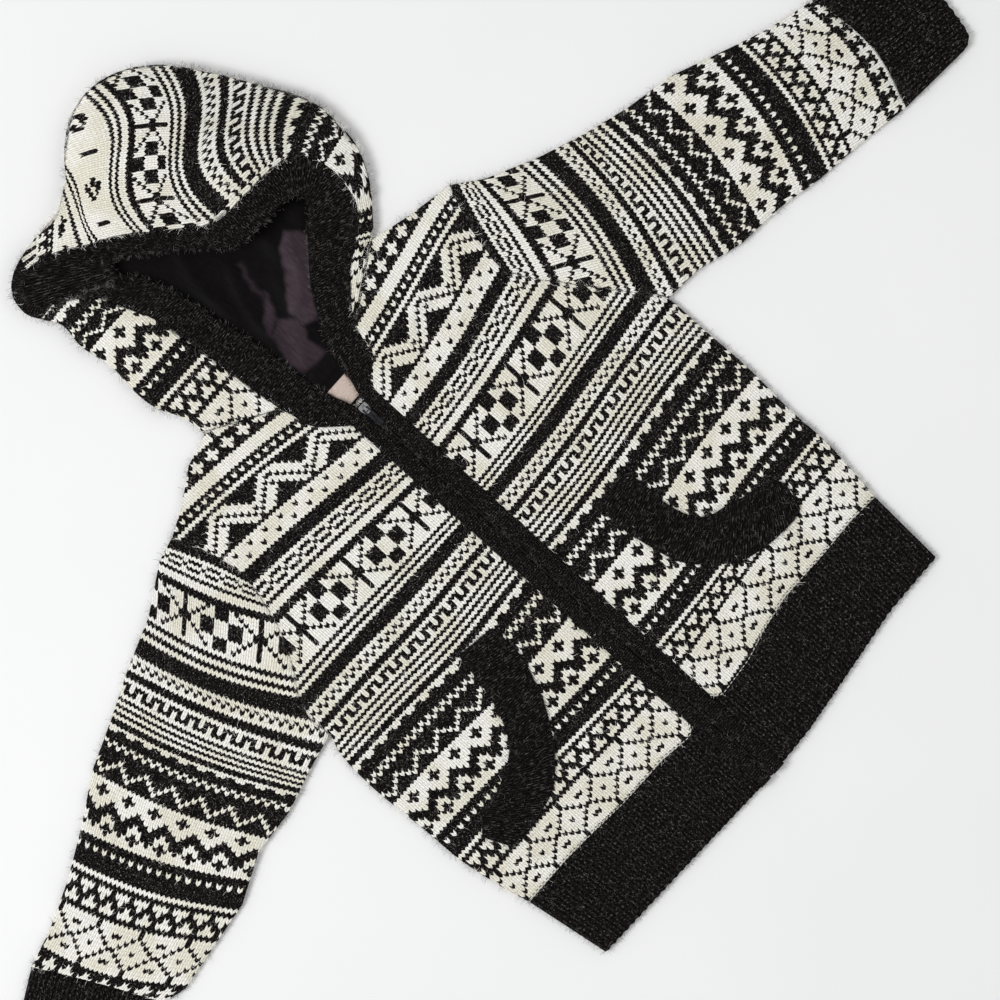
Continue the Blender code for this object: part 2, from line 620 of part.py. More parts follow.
def flat_ring(line, stops, low, high, crown, reach, inset, lifts=None):
    """A closed ring of a flattened tube whose lower layer lies on z = low and whose edges are round."""
    whole = lengths_along(line)[-1]
    middle = (low + high) / 2
    half = (high - low) / 2
    lower, upper = [], []
    for i, share in enumerate(stops):
        off = (min(share, 1 - share) * whole - inset) / reach
        rise = half * math.sqrt(max(0.0, 1 - (1 - min(1.0, off)) ** 2))
        x, y = point_along(line, share)
        puff = crown * math.sin(math.pi * share)
        lift = lifts[i] if lifts else 0.0
        if off < 1e-6:
            upper.append((x, y, middle))
            continue
        lower.append((x, y, middle - rise))
        upper.append((x, y, middle + rise + puff + lift))
    return upper + lower[::-1]


def sleeve_line(side, share):
    """The sleeve's width line at a share of its length: the armhole's curve that straightens out."""
    edges = SLEEVE_EDGES[side]
    shift = SEAM * 1.5 * (-1 if side == "left" else 1)
    armhole = armhole_line(side)
    low = point_along(edges["lower"], share)
    high = point_along(edges["upper"], share)
    first, last = armhole[0], armhole[-1]
    stay = 1 - smooth(share / ARMHOLE_STAY)
    total = lengths_along(armhole)
    line = []
    for point, length in zip(armhole, total):
        t = length / total[-1]
        straight = mix_points(low, high, t)
        chord = mix_points(first, last, t)
        x = straight[0] + stay * (point[0] - chord[0]) + shift
        line.append((x, straight[1] + stay * (point[1] - chord[1])))
    return line


def build_sleeve(side, finish):
    reach = FRONT_TOP / 2
    outer, inner = [], []
    for i in range(SLEEVE_STATIONS):
        share = i / (SLEEVE_STATIONS - 1)
        line = sleeve_line(side, share)
        puff = (SLEEVE_HEIGHT - FRONT_TOP) * math.sin(math.pi * share)
        outer.append(flat_ring(line, layer_stops(line, 0, reach), 0, FRONT_TOP, puff, reach, 0))
        stops = layer_stops(line, KNIT, INNER_REACH)
        inner.append(flat_ring(line, stops, KNIT, FRONT_BOTTOM, puff, INNER_REACH, KNIT))
    return tube(f"sleeve_{side}", outer, inner, finish)


def build_cuff(side, finish):
    ends = CUFF_ENDS[side]
    turn = -1 if side == "left" else 1
    outer, inner = [], []
    for share in (0.0, 0.5, 1.0):
        low = point_along(ends["lower"], share)
        high = point_along(ends["upper"], share)
        if share == 0:
            low = (low[0] + turn * SEAM * 3, low[1])
            high = (high[0] + turn * SEAM * 3, high[1])
        line = [low, high]
        whole = math.dist(low, high)
        reach = FRONT_TOP / 2
        across = [(2 * reach + s * (whole - 4 * reach), lift) for s, lift in rib_stops(CUFF_RIBS)]
        fade = 1.0 if 0 < share < 1 else CUFF_END_FADE
        stops = [0, 0.3 * reach / whole] + [s / whole for s, _ in across] + [1 - 0.3 * reach / whole, 1]
        lifts = [0, 0] + [lift * fade for _, lift in across] + [0, 0]
        outer.append(flat_ring(line, stops, 0, FRONT_TOP, CUFF_PUFF, reach, 0, lifts))
        near = [KNIT, KNIT + INNER_REACH / 2]
        inner_stops = [s / whole for s in near] + [s / whole for s, _ in across] + [1 - s / whole for s in near[::-1]]
        inner.append(flat_ring(line, inner_stops, KNIT, FRONT_BOTTOM, CUFF_PUFF, INNER_REACH, KNIT))
    return tube(f"cuff_{side}", outer, inner, finish)


HOOD_NECK_SPAN = (-120, 122)
HOOD_CENTRE = (20, 780)
HOOD_BACK_STEPS = 3
HOOD_FOLD_STEPS = 4
HOOD_FRONT_STEPS = 5


def inward_at(line, i):
    """The direction square to a line that runs clockwise round a shape, into the shape."""
    before, after = Vector(line[max(i - 1, 0)]), Vector(line[min(i + 1, len(line) - 1)])
    run = (after - before).normalized()
    return Vector((run.y, -run.x))


def hood_middle():
    """The middle surface of the hood's wall: rows round the outline, each from the neck seam under the hood,
    out to the fold, over it and in to the face edge."""
    rows = []
    count = len(HOOD_ROWS)
    seam_line = [back_point(len(BODY_ROWS), share) for share in BACK_COLUMNS]
    outline = [row["fold"] for row in HOOD_ROWS]
    for i, row in enumerate(HOOD_ROWS):
        face = Vector(row["face"])
        neck_x = mix(*HOOD_NECK_SPAN, i / (count - 1))
        neck = Vector((neck_x, height_on(seam_line, neck_x) + 2 * SEAM))
        radius = (row["fold_top"] - KNIT / 2) / 2
        inward = inward_at(outline, i)
        edge = Vector(row["fold"]) + inward * (KNIT / 2)
        start = edge + inward * radius
        pulled_in = start.lerp(Vector(HOOD_CENTRE), 0.6 * math.sin(math.pi * i / (count - 1)))
        points = []
        for k in range(HOOD_BACK_STEPS):
            t = k / HOOD_BACK_STEPS
            flat = neck.lerp(pulled_in, t).lerp(pulled_in.lerp(start, t), t)
            points.append((flat.x, flat.y, KNIT / 2))
        for k in range(HOOD_FOLD_STEPS + 1):
            turn = math.pi * k / HOOD_FOLD_STEPS
            at = edge + inward * radius * (1 - math.sin(turn))
            points.append((at.x, at.y, KNIT / 2 + radius * (1 - math.cos(turn))))
        for k in range(1, HOOD_FRONT_STEPS + 1):
            t = k / HOOD_FRONT_STEPS
            flat = start.lerp(face, t)
            z = mix(row["fold_top"], row["face_z"], smooth(t * 0.5) * 2) + row["bulge"] * math.sin(math.pi * t)
            points.append((flat.x, flat.y, z))
        rows.append(points)
    return rows


def offset_grid(rows, distance):
    """The grid moved out along its own normals, or straight up or down at its two sewn edges."""
    moved = []
    for i, row in enumerate(rows):
        moved.append([])
        for j, point in enumerate(row):
            along = Vector(rows[min(i + 1, len(rows) - 1)][j]) - Vector(rows[max(i - 1, 0)][j])
            across = Vector(row[min(j + 1, len(row) - 1)]) - Vector(row[max(j - 1, 0)])
            normal = across.cross(along).normalized()
            if j in (0, len(row) - 1):
                normal = Vector((0, 0, math.copysign(1.0, normal.z)))
            moved[-1].append(tuple(Vector(point) + normal * distance))
    return moved


def build_hood(finish):
    middle = hood_middle()
    outer = offset_grid(middle, KNIT / 2)
    inner = offset_grid(middle, -KNIT / 2)
    return wall("hood", outer, inner, finish)


def build_face_band(finish):
    top, bottom = [], []
    seam_line = [row["sewn"] for row in FACE_BAND_ROWS]
    for i, row in enumerate(FACE_BAND_ROWS):
        top.append([])
        bottom.append([])
        start = Vector(row["sewn"]) + inward_at(seam_line, i) * SEAM * 3
        free = Vector(row["free"])
        for share, lift in zip(FACE_BAND_SHARES, FACE_BAND_CROWN):
            flat = start.lerp(free, share)
            base = mix(row["sewn_z"], row["free_z"], share)
            top[-1].append((flat.x, flat.y, base + BAND_WALL + lift))
            bottom[-1].append((flat.x, flat.y, base))
    return wall("face_band", top, bottom, finish)


def build_lining(finish):
    shares = [i / LINING_STEPS for i in range(LINING_STEPS + 1)]
    top, bottom = [], []
    for row in LINING_ROWS:
        plan = [(mix(row["left"], row["right"], s), row["y"]) for s in shares]
        top.append([(x, y, LINING_TOP) for x, y in plan])
        bottom.append([(x, y, LINING_BOTTOM) for x, y in plan])
    return wall("hood_lining", top, bottom, finish)


def build_label(finish):
    low = LINING_TOP + SEAM
    top = [[(x, y, low + LABEL["thick"]) for x in LABEL["x"]] for y in LABEL["y"]]
    bottom = [[(x, y, low) for x in LABEL["x"]] for y in LABEL["y"]]
    return wall("neck_label", top, bottom, finish)


def build_slider(finish):
    """The slider's body, wider towards the open end, with the arch that holds the pull tab."""
    y0, y1 = SLIDER_Y
    z0, z1 = SLIDER_Z
    narrow, wide = SLIDER_HALF["narrow"], SLIDER_HALF["wide"]
    shoulder, corner = y0 + SLIDER_TAPER, y1 - SLIDER_CORNER
    outline = [(-narrow, y0), (narrow, y0), (wide, shoulder), (wide, corner), (wide - SLIDER_CORNER, y1),
               (-wide + SLIDER_CORNER, y1), (-wide, corner), (-wide, shoulder)]
    points = [(x, y, z0) for x, y in outline] + [(x, y, z1) for x, y in outline]
    count = len(outline)
    faces = [tuple(range(count - 1, -1, -1)), tuple(range(count, 2 * count))]
    for i in range(count):
        j = (i + 1) % count
        faces.append((i, j, j + count, i + count))
    body = new_object("zip_slider", points, faces, finish)
    arch = arch_object(z1, finish)
    join = body.modifiers.new("arch", "BOOLEAN")
    join.operation = "UNION"
    join.solver = "EXACT"
    join.object = arch
    return body


def arch_object(base, finish):
    """The arch over the pull tab's bar, sunk a little into the slider's body."""
    reach = ARCH_HALF_LENGTH
    inner = reach - ARCH_THICK
    top = base + ARCH_ROOM
    sunk = base - ARCH_SUNK
    profile = [(-reach, sunk), (-reach, top - 0.6), (-reach + 1.2, top + ARCH_THICK), (reach - 1.2, top + ARCH_THICK),
               (reach, top - 0.6), (reach, sunk), (inner, sunk), (inner, top - 0.3), (inner - 0.5, top),
               (-inner + 0.5, top), (-inner, top - 0.3), (-inner, sunk)]
    points = [(x, PIVOT_Y + y, z) for x in (-ARCH_HALF_WIDTH, ARCH_HALF_WIDTH) for y, z in profile]
    count = len(profile)
    quads = [(0, 1, 10, 11), (1, 2, 9, 10), (2, 3, 8, 9), (3, 4, 7, 8), (4, 5, 6, 7)]
    faces = list(quads) + [tuple(i + count for i in quad[::-1]) for quad in quads]
    for i in range(count):
        j = (i + 1) % count
        faces.append((i, i + count, j + count, j))
    arch = new_object("arch_cutter", points, faces, finish)
    arch.hide_render = True
    arch.display_type = "WIRE"
    return arch


def build_pull(finish):
    """The pull tab: a flat tongue with a window whose end bar lies under the slider's arch."""
    half = PULL_THICK / 2
    outer = [(-PULL_HALF, 0.6), (PULL_HALF, 0.6), (PULL_HALF, -PULL_LENGTH + 3), (PULL_HALF - 1.6, -PULL_LENGTH),
             (-PULL_HALF + 1.6, -PULL_LENGTH), (-PULL_HALF, -PULL_LENGTH + 3)]
    arm = PULL_HALF - PULL_ARM
    window = [(-arm, -0.6), (arm, -0.6), (arm, -PULL_WINDOW), (-arm, -PULL_WINDOW)]
    outline = outer + window
    points = [(x, PIVOT_Y + y, PIVOT_Z + z) for z in (-half, half) for x, y in outline]
    count = len(outline)
    flats = [(0, 1, 7, 6), (1, 2, 8, 7), (2, 3, 4, 5, 9, 8), (5, 0, 6, 9)]
    faces = [flat[::-1] for flat in flats] + [tuple(i + count for i in flat) for flat in flats]
    for ring in (list(range(6)), list(range(6, 10))):
        for a, b in zip(ring, ring[1:] + ring[:1]):
            faces.append((a, b, b + count, a + count))
    pull = new_object("zip_pull", points, faces, finish)
    pivot = place(0, PIVOT_Y, PIVOT_Z)
    for vertex in pull.data.vertices:
        vertex.co -= pivot
    pull.location = pivot
    return pull


def main():
    for old in list(bpy.data.objects):
        bpy.data.objects.remove(old)
    knit = material("fair_isle_wool", (0.36, 0.35, 0.33), 0.95)
    rib = material("black_rib_wool", (0.018, 0.016, 0.017), 0.95)
    satin = material("satin_lining", (0.03, 0.015, 0.022), 0.35)
    cotton = material("label_cotton", (0.72, 0.6, 0.54), 0.8)
    tape = material("zip_tape", (0.012, 0.012, 0.013), 0.7)
    metal = material("zip_metal", (0.5, 0.5, 0.51), 0.35, 1.0)
    dark_metal = material("pull_metal", (0.08, 0.08, 0.085), 0.4, 1.0)
    build_back(knit)
    build_back_hem(rib)
    for side in ("left", "right"):
        build_front(side, knit)
        build_front_hem(side, rib)
        build_zip_band(side, rib)
        build_pocket_band(side, rib)
        build_sleeve(side, knit)
        build_cuff(side, rib)
    build_hood(knit)
    build_face_band(rib)
    build_lining(satin)
    build_label(cotton)
    build_zip(tape)
    build_slider(metal)
    build_pull(dark_metal)


main()
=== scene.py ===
"""A hooded zip-up sweater in black and cream Fair Isle knit, laid flat on its back with the zip closed.

Tables are in millimetres: x runs to the viewer's right, y from the hem towards the hood, z up from the floor.
A stitch is counted as (u, v): u stitches across and v rows up from the hem. Every knitted piece is a thin
shell of V-shaped stitches that lies on its solid.
"""

import json
import math

import bpy
import numpy as np
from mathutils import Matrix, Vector
from mathutils.bvhtree import BVHTree

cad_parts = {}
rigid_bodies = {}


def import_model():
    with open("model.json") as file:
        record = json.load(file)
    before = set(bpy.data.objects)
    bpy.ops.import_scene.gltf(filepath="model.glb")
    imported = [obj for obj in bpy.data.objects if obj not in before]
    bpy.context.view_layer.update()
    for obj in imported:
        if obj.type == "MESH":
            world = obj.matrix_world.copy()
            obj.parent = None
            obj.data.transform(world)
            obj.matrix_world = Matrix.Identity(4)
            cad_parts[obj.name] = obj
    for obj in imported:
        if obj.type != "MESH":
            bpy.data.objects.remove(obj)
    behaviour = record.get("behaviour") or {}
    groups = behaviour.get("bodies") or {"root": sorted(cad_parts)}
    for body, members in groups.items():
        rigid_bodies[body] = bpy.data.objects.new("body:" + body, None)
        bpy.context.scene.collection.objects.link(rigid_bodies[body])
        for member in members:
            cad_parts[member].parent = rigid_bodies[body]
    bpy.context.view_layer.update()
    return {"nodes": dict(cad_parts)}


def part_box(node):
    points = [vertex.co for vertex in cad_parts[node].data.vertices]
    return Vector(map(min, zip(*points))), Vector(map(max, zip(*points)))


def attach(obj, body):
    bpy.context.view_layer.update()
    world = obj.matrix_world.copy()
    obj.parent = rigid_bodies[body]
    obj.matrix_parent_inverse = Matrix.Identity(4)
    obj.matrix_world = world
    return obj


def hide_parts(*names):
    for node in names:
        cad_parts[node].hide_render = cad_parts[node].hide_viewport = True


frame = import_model()

MM = 0.001
ORIGIN_Y = 300.0

# A stitch: its width and height, the V's depth in rows, the heights of its legs, and how far it strays.
STITCH_WIDE = 4.96
CROWN_STITCH_WIDE = 4.45
BACK_STITCH_HIGH = 4.3
V_POINT = 0.62
STITCH_RISE = 1.0
LEG_HEIGHTS = np.array([0.0, 1.0, 0.3, 1.0])
ROW_DIPS = np.array([0.62, 1.0])
STITCH_STRAY = 0.42
BACK_RISE = 0.5

# A rib: places across it, the depth of its ridge and rows, and how far its free end is scalloped.
RIB_PLACES = np.array([0, 0.14, 0.24, 0.35, 0.5, 0.65, 0.76, 0.86])
RIB_DEPTH = 0.5
RIB_ROW_WAVE = 0.18
BACK_RIB_RISE = 0.25
SCALLOP = 0.006

# The width and depth of a ridge on the bands, how far the shells' rims turn down, and the cloth's swell.
BAND_PITCH = 2.6
FACE_BAND_PITCH = 2.7
BAND_DEPTH = 0.6
RIM = {"front": 3.2, "back": -2.2, "tube": 1.2, "zip_band": 2.6, "pocket_band": 4.4, "face_band": 3.4,
       "lobe": 3.0}
SWELL = {"knit": 0.8, "rib": 0.5, "band": 0.4}

# The first and last stitch of each knitted sheet, across and up.
SPANS = {
    "front_left": ((-58, -2), (-3, 142)), "front_right": ((2, 60), (-3, 142)), "back": ((-58, 60), (-3, 138)),
    "sleeve": ((-28, 28), (-6, 118)), "hood_strip": ((-34, -10), (-3, 57)), "hood_fan": ((0, 44), (-3, 134)),
    "hood_back": ((-34, 42), (-4, 84)),
}
# How many ribs each ribbed sheet has, and how many rows it is cut into.
RIB_COUNTS = {"left": 25, "right": 27, "back": 56, "cuff": 14}
RIB_ROWS = {"hem": 44, "cuff": 36, "underside": 12}
# Where the hems start and end, at the join and at the bottom edge.
HEM_ENDS = {
    "left": ((-256, -17.5), (-242, -16.5)), "right": ((18.5, 275), (17.5, 271)),
    "back": ((-256, 275), (-242, 271)),
}

# Colours of the yarns, the satin, the label, the metals and the floor.
CREAM = (0.96, 0.945, 0.90)
CREAM_AGED = (0.85, 0.825, 0.71)
CREAM_THREAD = (0.72, 0.70, 0.62)
FIBRE_SHADE = (0.80, 0.79, 0.75)
# Painted shade: the cream yarn's grooves between legs and rows are darkened to this.
GROOVE_PAINTED_SHADE = (0.36, 0.3492, 0.324)
BLACK = (0.0030, 0.0023, 0.0022)
BLACK_GREYED = (0.019, 0.016, 0.015)
BLACK_HAIR = (0.24, 0.222, 0.21)
# Painted shade in the black yarn's grooves, and a painted highlight on its crests.
BLACK_GROOVE_PAINTED_SHADE = (0.08, 0.08, 0.08)
BLACK_CREST_PAINTED_HIGHLIGHT = (1.15, 1.15, 1.15)
BLACK_THREAD = (0.006, 0.005, 0.005)
LOOSE_HAIR = [(0.42, (0.012, 0.010, 0.010)), (0.66, (0.20, 0.19, 0.18))]
SATIN_DARK = [(0.3, (0.0016, 0.0012, 0.0014)), (0.7, (0.0036, 0.0026, 0.0031))]
SATIN_LIT = [(0.3, (0.052, 0.036, 0.045)), (0.7, (0.085, 0.058, 0.074))]
LABEL_WEAVE = [(0.3, (0.42, 0.33, 0.28)), (0.7, (0.58, 0.47, 0.41))]
TAPE_WEAVE = [(0.35, (0.002, 0.002, 0.002)), (0.7, (0.007, 0.006, 0.006))]
TOOTH_BLACK = (0.012, 0.011, 0.011)
NICKEL = ((0.22, 0.22, 0.23), (0.40, 0.40, 0.41))
BLACKENED = ((0.010, 0.010, 0.011), (0.035, 0.035, 0.038))
FLOOR_GRAIN = [(0.3, (0.79, 0.795, 0.795)), (0.7, (0.81, 0.813, 0.813))]
WHITE = (1, 1, 1)

# The noises of the materials: scale, detail, stretch, and the coordinates if not the object's.
GRAIN = {
    "cream_patches": (24, 2), "cream_fibres": (900, 3), "black_fibres": (620, 3, (1, 1, 0.5)),
    "rib_streaks": (1, 3, (9, 1.6, 1), "UV"), "fine_hair": (1500, 4), "loose_hair": (160, 2),
    "satin": (420, 3, (1, 0.25, 1)), "label": (1500, 3, (1, 0.4, 1)), "tape": (1800, 2, (1, 0.3, 1)),
    "thread": (900, 2), "metal": (700, 4, (1, 0.2, 1)), "floor": (3, 2),
}
# Strength and distance of the bumps, and the share of fine hair in the wool's.
WOOL_BUMP = (0.8, 0.0008)
SATIN_BUMP = (0.12, 0.0003)
BUMP_HAIR = 0.8

# The loose hairs: how many to the square metre, how many times more on the rims, their length in
# millimetres, and their thickness in metres.
FUZZ = {
    "knit": {"slot": "fair_isle_knit", "density": 45000, "long": 7},
    "rib": {"slot": "black_rib", "density": 55000, "long": 6},
}
RIM_FUZZ = 14.0
FIBRE_THICK = 0.00020
FIBRE_CURL = 0.35
FIBRE_LIFT = 0.3
FIBRE_TURNS = ((-0.5, -0.4, 0), (0.5, 0.4, 2 * math.pi))
FIBRE_LENGTHS = (0.35, 1.0)
LEAST_HEIGHT = 0.0003
LEAST_RIM_HEIGHT = 0.0002

# The dashed stitches along the hem join, and the closed teeth of the zip, in beads.
HEM_DASH = {"step": 4.96, "wide": 0.9, "long": 3.4, "high": 0.8}
HEM_DASH_SPANS = ((-252, -18), (19, 272))
HEM_DASH_RISES = {"cream": 0.6, "black": 2.4}
HEM_DASH_ABOVE_CLOTH = 1.8
ZIP_TOOTH = {"step": 1.9, "wide": 2.6, "long": 1.3, "high": 1.1}
ZIP_TEETH_LINE = [(0, 3, 7.9), (0, 541, 7.9)]

# The camera looks straight down at the point of the sweater that is the photograph's middle.
CAMERA = {"centre": (22.35, 386.1), "turn": -48, "distance": 3.2, "width": 1.0}
SENSOR_WIDE = 36
# Soft light from the photograph's upper left, which is the sweater's left and hood side.
LIGHTS = [
    {"name": "window", "at": (-2.2, 1.6, 3.4), "size": 1.9, "power": 108},
    {"name": "fill", "at": (1.6, -0.8, 2.6), "size": 2.4, "power": 12},
]
LIT_PLACE = (0, 0.1, 0)
ROOM_LIGHT = 0.585
FLOOR_HALF = 6.0

# The Fair Isle chart from the hem up. A string is one row of stitches that repeats across: K black, C cream.
LATTICE = ["KCCCCCCCC", "KCCCCCCCC", "CKCCKKCCK", "CCKCCCCKC", "CCCKCCKCC", "KCCCKKCCC",
           "CCCKCCKCC", "CCKCCCCKC", "CKCCKKCCK", "KCCCCCCCC", "KCCCCCCCC"]
BLOBS = ["K", "CKCC", "KKKC", "KCKK", "CCCK", "K", "C", "K", "K", "K", "K", "CK", "K", "K"]
ZIGZAG = ["CCCCCC", "KCCCCC", "KKCKCK", "KCKKKC", "CCKKKC", "CKKKKK", "KKKCKK", "KKCCCK", "KCCCCC",
          "CCCKCC", "CCKKKC", "CCCKCC", "CCCCCC"]
TEETH = ["K", "CKKKKK", "KCKKKC", "KKCKCK", "KKKCKK", "K", "K", "KC", "CK", "K", "K", "K", "CCKK", "C", "K",
         "K"]
MEANDER = ["C", "K", "C", "K", "C", "K", "CCCC", "CKKK", "CKCK", "KKCK", "CCCC", "K", "K", "C", "CK", "KC",
           "C", "K", "K", "K", "K", "C", "K", "C", "K"]
CHECKER = ["C", "KCCCCKCKKKCKCCCC", "KCCCKCCKKKCCKCCC", "KCCKCCCKKKCCCKCC", "KCKCKKKCCCKKKCKC",
           "KKCCKKKCCCKKKCCK", "KKCCKKKCCCKKKCCK", "KCKCKKKCCCKKKCKC", "KCCKCCCKKKCCCKCC", "KCCCKCCKKKCCKCCC",
           "KCCCCKCKKKCKCCCC"]
DASHES = ["K", "K", "C", "C", "K", "C", "KKKC", "CCCK", "KKKC", "C", "K", "K", "K", "K", "C", "KCCC", "C",
          "CCKC", "C", "K"]
FLOWERS = ["K", "C", "K", "CK", "K", "C", "C", "C", "K", "CKKK", "CCKC", "CKKK", "K"]
CUFF_FLOWERS = ["C", "CKKK", "CCKC", "CKKK", "K"]
TRIANGLE_PERIOD = 13
TRIANGLE_ROWS = 8
TRIANGLE_TIP_ROW = 4
RIBBON_TOP_ROW = 7
RIBBON_SLOPE = 0.86


def triangle_rows():
    """Rows of black triangles that point up and down by turns, with a dotted ribbon between them."""
    rows = []
    for r in range(1, TRIANGLE_ROWS + 1):
        row = ""
        for column in range(TRIANGLE_PERIOD):
            off = min(column, TRIANGLE_PERIOD - column)
            far = TRIANGLE_PERIOD // 2 - off
            up = off <= TRIANGLE_TIP_ROW - r
            down = far <= r - TRIANGLE_TIP_ROW - 1
            dotted = abs(r - (RIBBON_TOP_ROW - RIBBON_SLOPE * off)) <= 1.2 and (r + column) % 2 == 1
            row += "K" if up or down or dotted else "C"
        rows.append(row)
    return rows


FIRST_ROW = -len(CUFF_FLOWERS)
LOWER_ROWS = CUFF_FLOWERS + LATTICE + BLOBS + ZIGZAG + TEETH + MEANDER + CHECKER
# The shifts say how many stitches a group of rows is moved sideways, by the number of its first row.
LOWER_SHIFTS = [(-5, 0), (0, 7), (11, 2), (25, 1), (38, 0), (60, 1), (79, 10)]
BODY_CHART = {
    "rows": LOWER_ROWS + DASHES + triangle_rows() + FLOWERS + LATTICE + BLOBS,
    "shifts": LOWER_SHIFTS + [(90, 2), (110, 10), (118, 0), (131, 7)],
}
# Over the crown of the hood the checkers come a second time, as sparser marks, and black flowers end it.
CROWN_MARKS = ["C", "C", "C", "CCCCCCCCKKCCCCCC", "KCCCCCCKKKCCCCCC", "KCCCCCKCCKKCCCCC", "KCCCCCKKCKKCCCCC",
               "KCCCCCCKKCCCCCCC", "CCCCCCCCKKCCCCCC", "C", "C"]
CROWN_END = ["K", "C", "K", "C", "C", "K", "C", "CCCCCKC", "CCCKKKK", "CCKKKCC", "C", "C", "K", "CK", "K",
             "CKK", "CCK", "CKK", "C", "KC"]
# The rows of the crown whose first stitch is a cream loop at the face band, but for every fourth row.
CROWN_LOOP_ROWS = (52, 79)
CROWN_LOOP_EVERY = 4
CROWN_CHART = {
    "rows": LOWER_ROWS + ["K", "K", "C", "C", "K", "C", "K"] + CROWN_MARKS + CROWN_END,
    "shifts": LOWER_SHIFTS + [(97, 14), (108, 0)],
}

# Heights of rows on the fronts, at four distances from the zip line.
ROW_STATIONS = {"left": (-265, -200, -110, -20), "right": (20, 110, 200, 275)}
# How far a row's bend at a station is spread, and half the width over which the back's rows change sides.
ROW_BEND = 25
BACK_BLEND = 60
ROW_HEIGHTS = [
    {"row": -6, "left": (71, 73, 68, 64), "right": (67, 80, 86, 86)},
    {"row": 0, "left": (94, 96, 92, 88), "right": (91, 104, 110, 110)},
    {"row": 11, "left": (140, 141, 140, 138), "right": (139, 152, 158, 160)},
    {"row": 17.5, "left": (176, 177, 171, 168), "right": (170, 174, 186, 192)},
    {"row": 22.5, "left": (196, 196, 190, 187), "right": (189, 194, 209, 211)},
    {"row": 25, "left": (208, 207, 201, 199), "right": (200, 204, 220, 222)},
    {"row": 38, "left": (261, 260, 253, 255), "right": (257, 262, 275, 278)},
    {"row": 46, "left": (293, 293, 285, 294), "right": (293, 296, 305, 313)},
    {"row": 50.5, "left": (311, 312, 303, 311), "right": (311, 315, 327, 334)},
    {"row": 53, "left": (320, 319, 314, 320), "right": (321, 325, 337, 342)},
    {"row": 60, "left": (345, 345, 340, 345), "right": (347, 350, 362, 368)},
    {"row": 66, "left": (366, 366, 364, 367), "right": (367, 372, 383, 391)},
    {"row": 71, "left": (387, 388, 383, 385), "right": (387, 390, 400, 409)},
    {"row": 75, "left": (402, 402, 400, 399), "right": (401, 406, 416, 425)},
    {"row": 79, "left": (418, 419, 415, 412), "right": (414, 419, 430, 440)},
    {"row": 91, "left": (472, 472, 466, 458), "right": (462, 472, 486, 496)},
    {"row": 100, "left": (514, 512, 503, 490), "right": (497, 505, 527, 535)},
    {"row": 104, "left": (530, 528, 518, 505), "right": (511, 520, 542, 552)},
    {"row": 109.5, "left": (556, 553, 543, 528), "right": (532, 545, 565, 574)},
    {"row": 118, "left": (593, 590, 580, 562), "right": (566, 582, 602, 610)},
    {"row": 131, "left": (650, 646, 636, 618), "right": (622, 638, 657, 664)},
    {"row": 160, "left": (790, 780, 768, 740), "right": (744, 762, 780, 790)},
]

# The outer edges of the body from the hem join to the shoulder tips.
BODY_SIDES = {
    "left": [(-256, 96), (-264, 130), (-271, 175), (-273, 228), (-276, 286), (-273, 332), (-265, 356),
             (-267, 378), (-258, 404), (-240, 427), (-221, 462), (-208, 503), (-204, 530), (-207, 550),
             (-211, 567), (-217, 588), (-225, 604)],
    "right": [(275, 110), (279, 141), (283, 180), (283, 234), (286, 290), (285, 346), (284, 396), (272, 416),
              (250, 447), (228, 480), (206, 513), (195, 540), (198, 562), (201, 578), (205, 592), (213, 613),
              (222, 634)],
}
ARMPIT_POINT = 6
ARMPIT_SLEEVE_ROW = 69
MITRE_MEETS_AFTER = 10
# Above this row the stitch columns keep nearer to the sleeve's upper edge, as the body side is cut off.
MIDDLE_ROW = 66
CAP_MIDDLE = 0.25
ARMHOLE_BODY_ROWS = np.arange(55, 125, 0.25)
ARMHOLE_GAP = 0.4
CUFF_GAP = 0.5
SLEEVE_WIDE = {"left": 200, "right": 193}
BACK_TOP = [(-225, 604), (-195, 618), (-160, 640), (-124, 650), (-57, 622), (0, 613), (56, 622), (130, 655),
            (175, 643), (222, 634)]
FRONT_TOPS = {
    "left": [(-225, 604), (-195, 618), (-160, 640), (-124, 650), (-57, 609), (-20, 586)],
    "right": [(20, 588), (56, 610), (130, 655), (175, 643), (222, 634)],
}
HEM_JOIN = [(-256, 96), (-200, 97), (-160, 95), (-120, 92), (-60, 92), (-27, 87), (-21, 90), (-17, 96),
            (18, 100), (22, 94), (28, 91), (70, 95), (100, 103), (140, 110), (200, 110), (240, 112),
            (275, 110)]
HEM_GAP = 0.5
BACK_HEM_GAP = 0.4
TOP_GAP = 0.3
BACK_TOP_GAP = 0.2
RIB_TOP_GAP = 0.6
HEM_BOTTOM = [(-242, 5), (-120, 3), (0, 0), (60, 3), (150, 15), (200, 22), (271, 24)]
BAND_EDGES = {
    "left": [(-16, 0), (-17, 90), (-19, 300), (-21, 545), (-38, 562), (-49, 576), (-54, 600), (-57, 610)],
    "right": [(17, 0), (18, 90), (19, 300), (20, 545), (23, 562), (45, 576), (52, 600), (56, 611)],
}

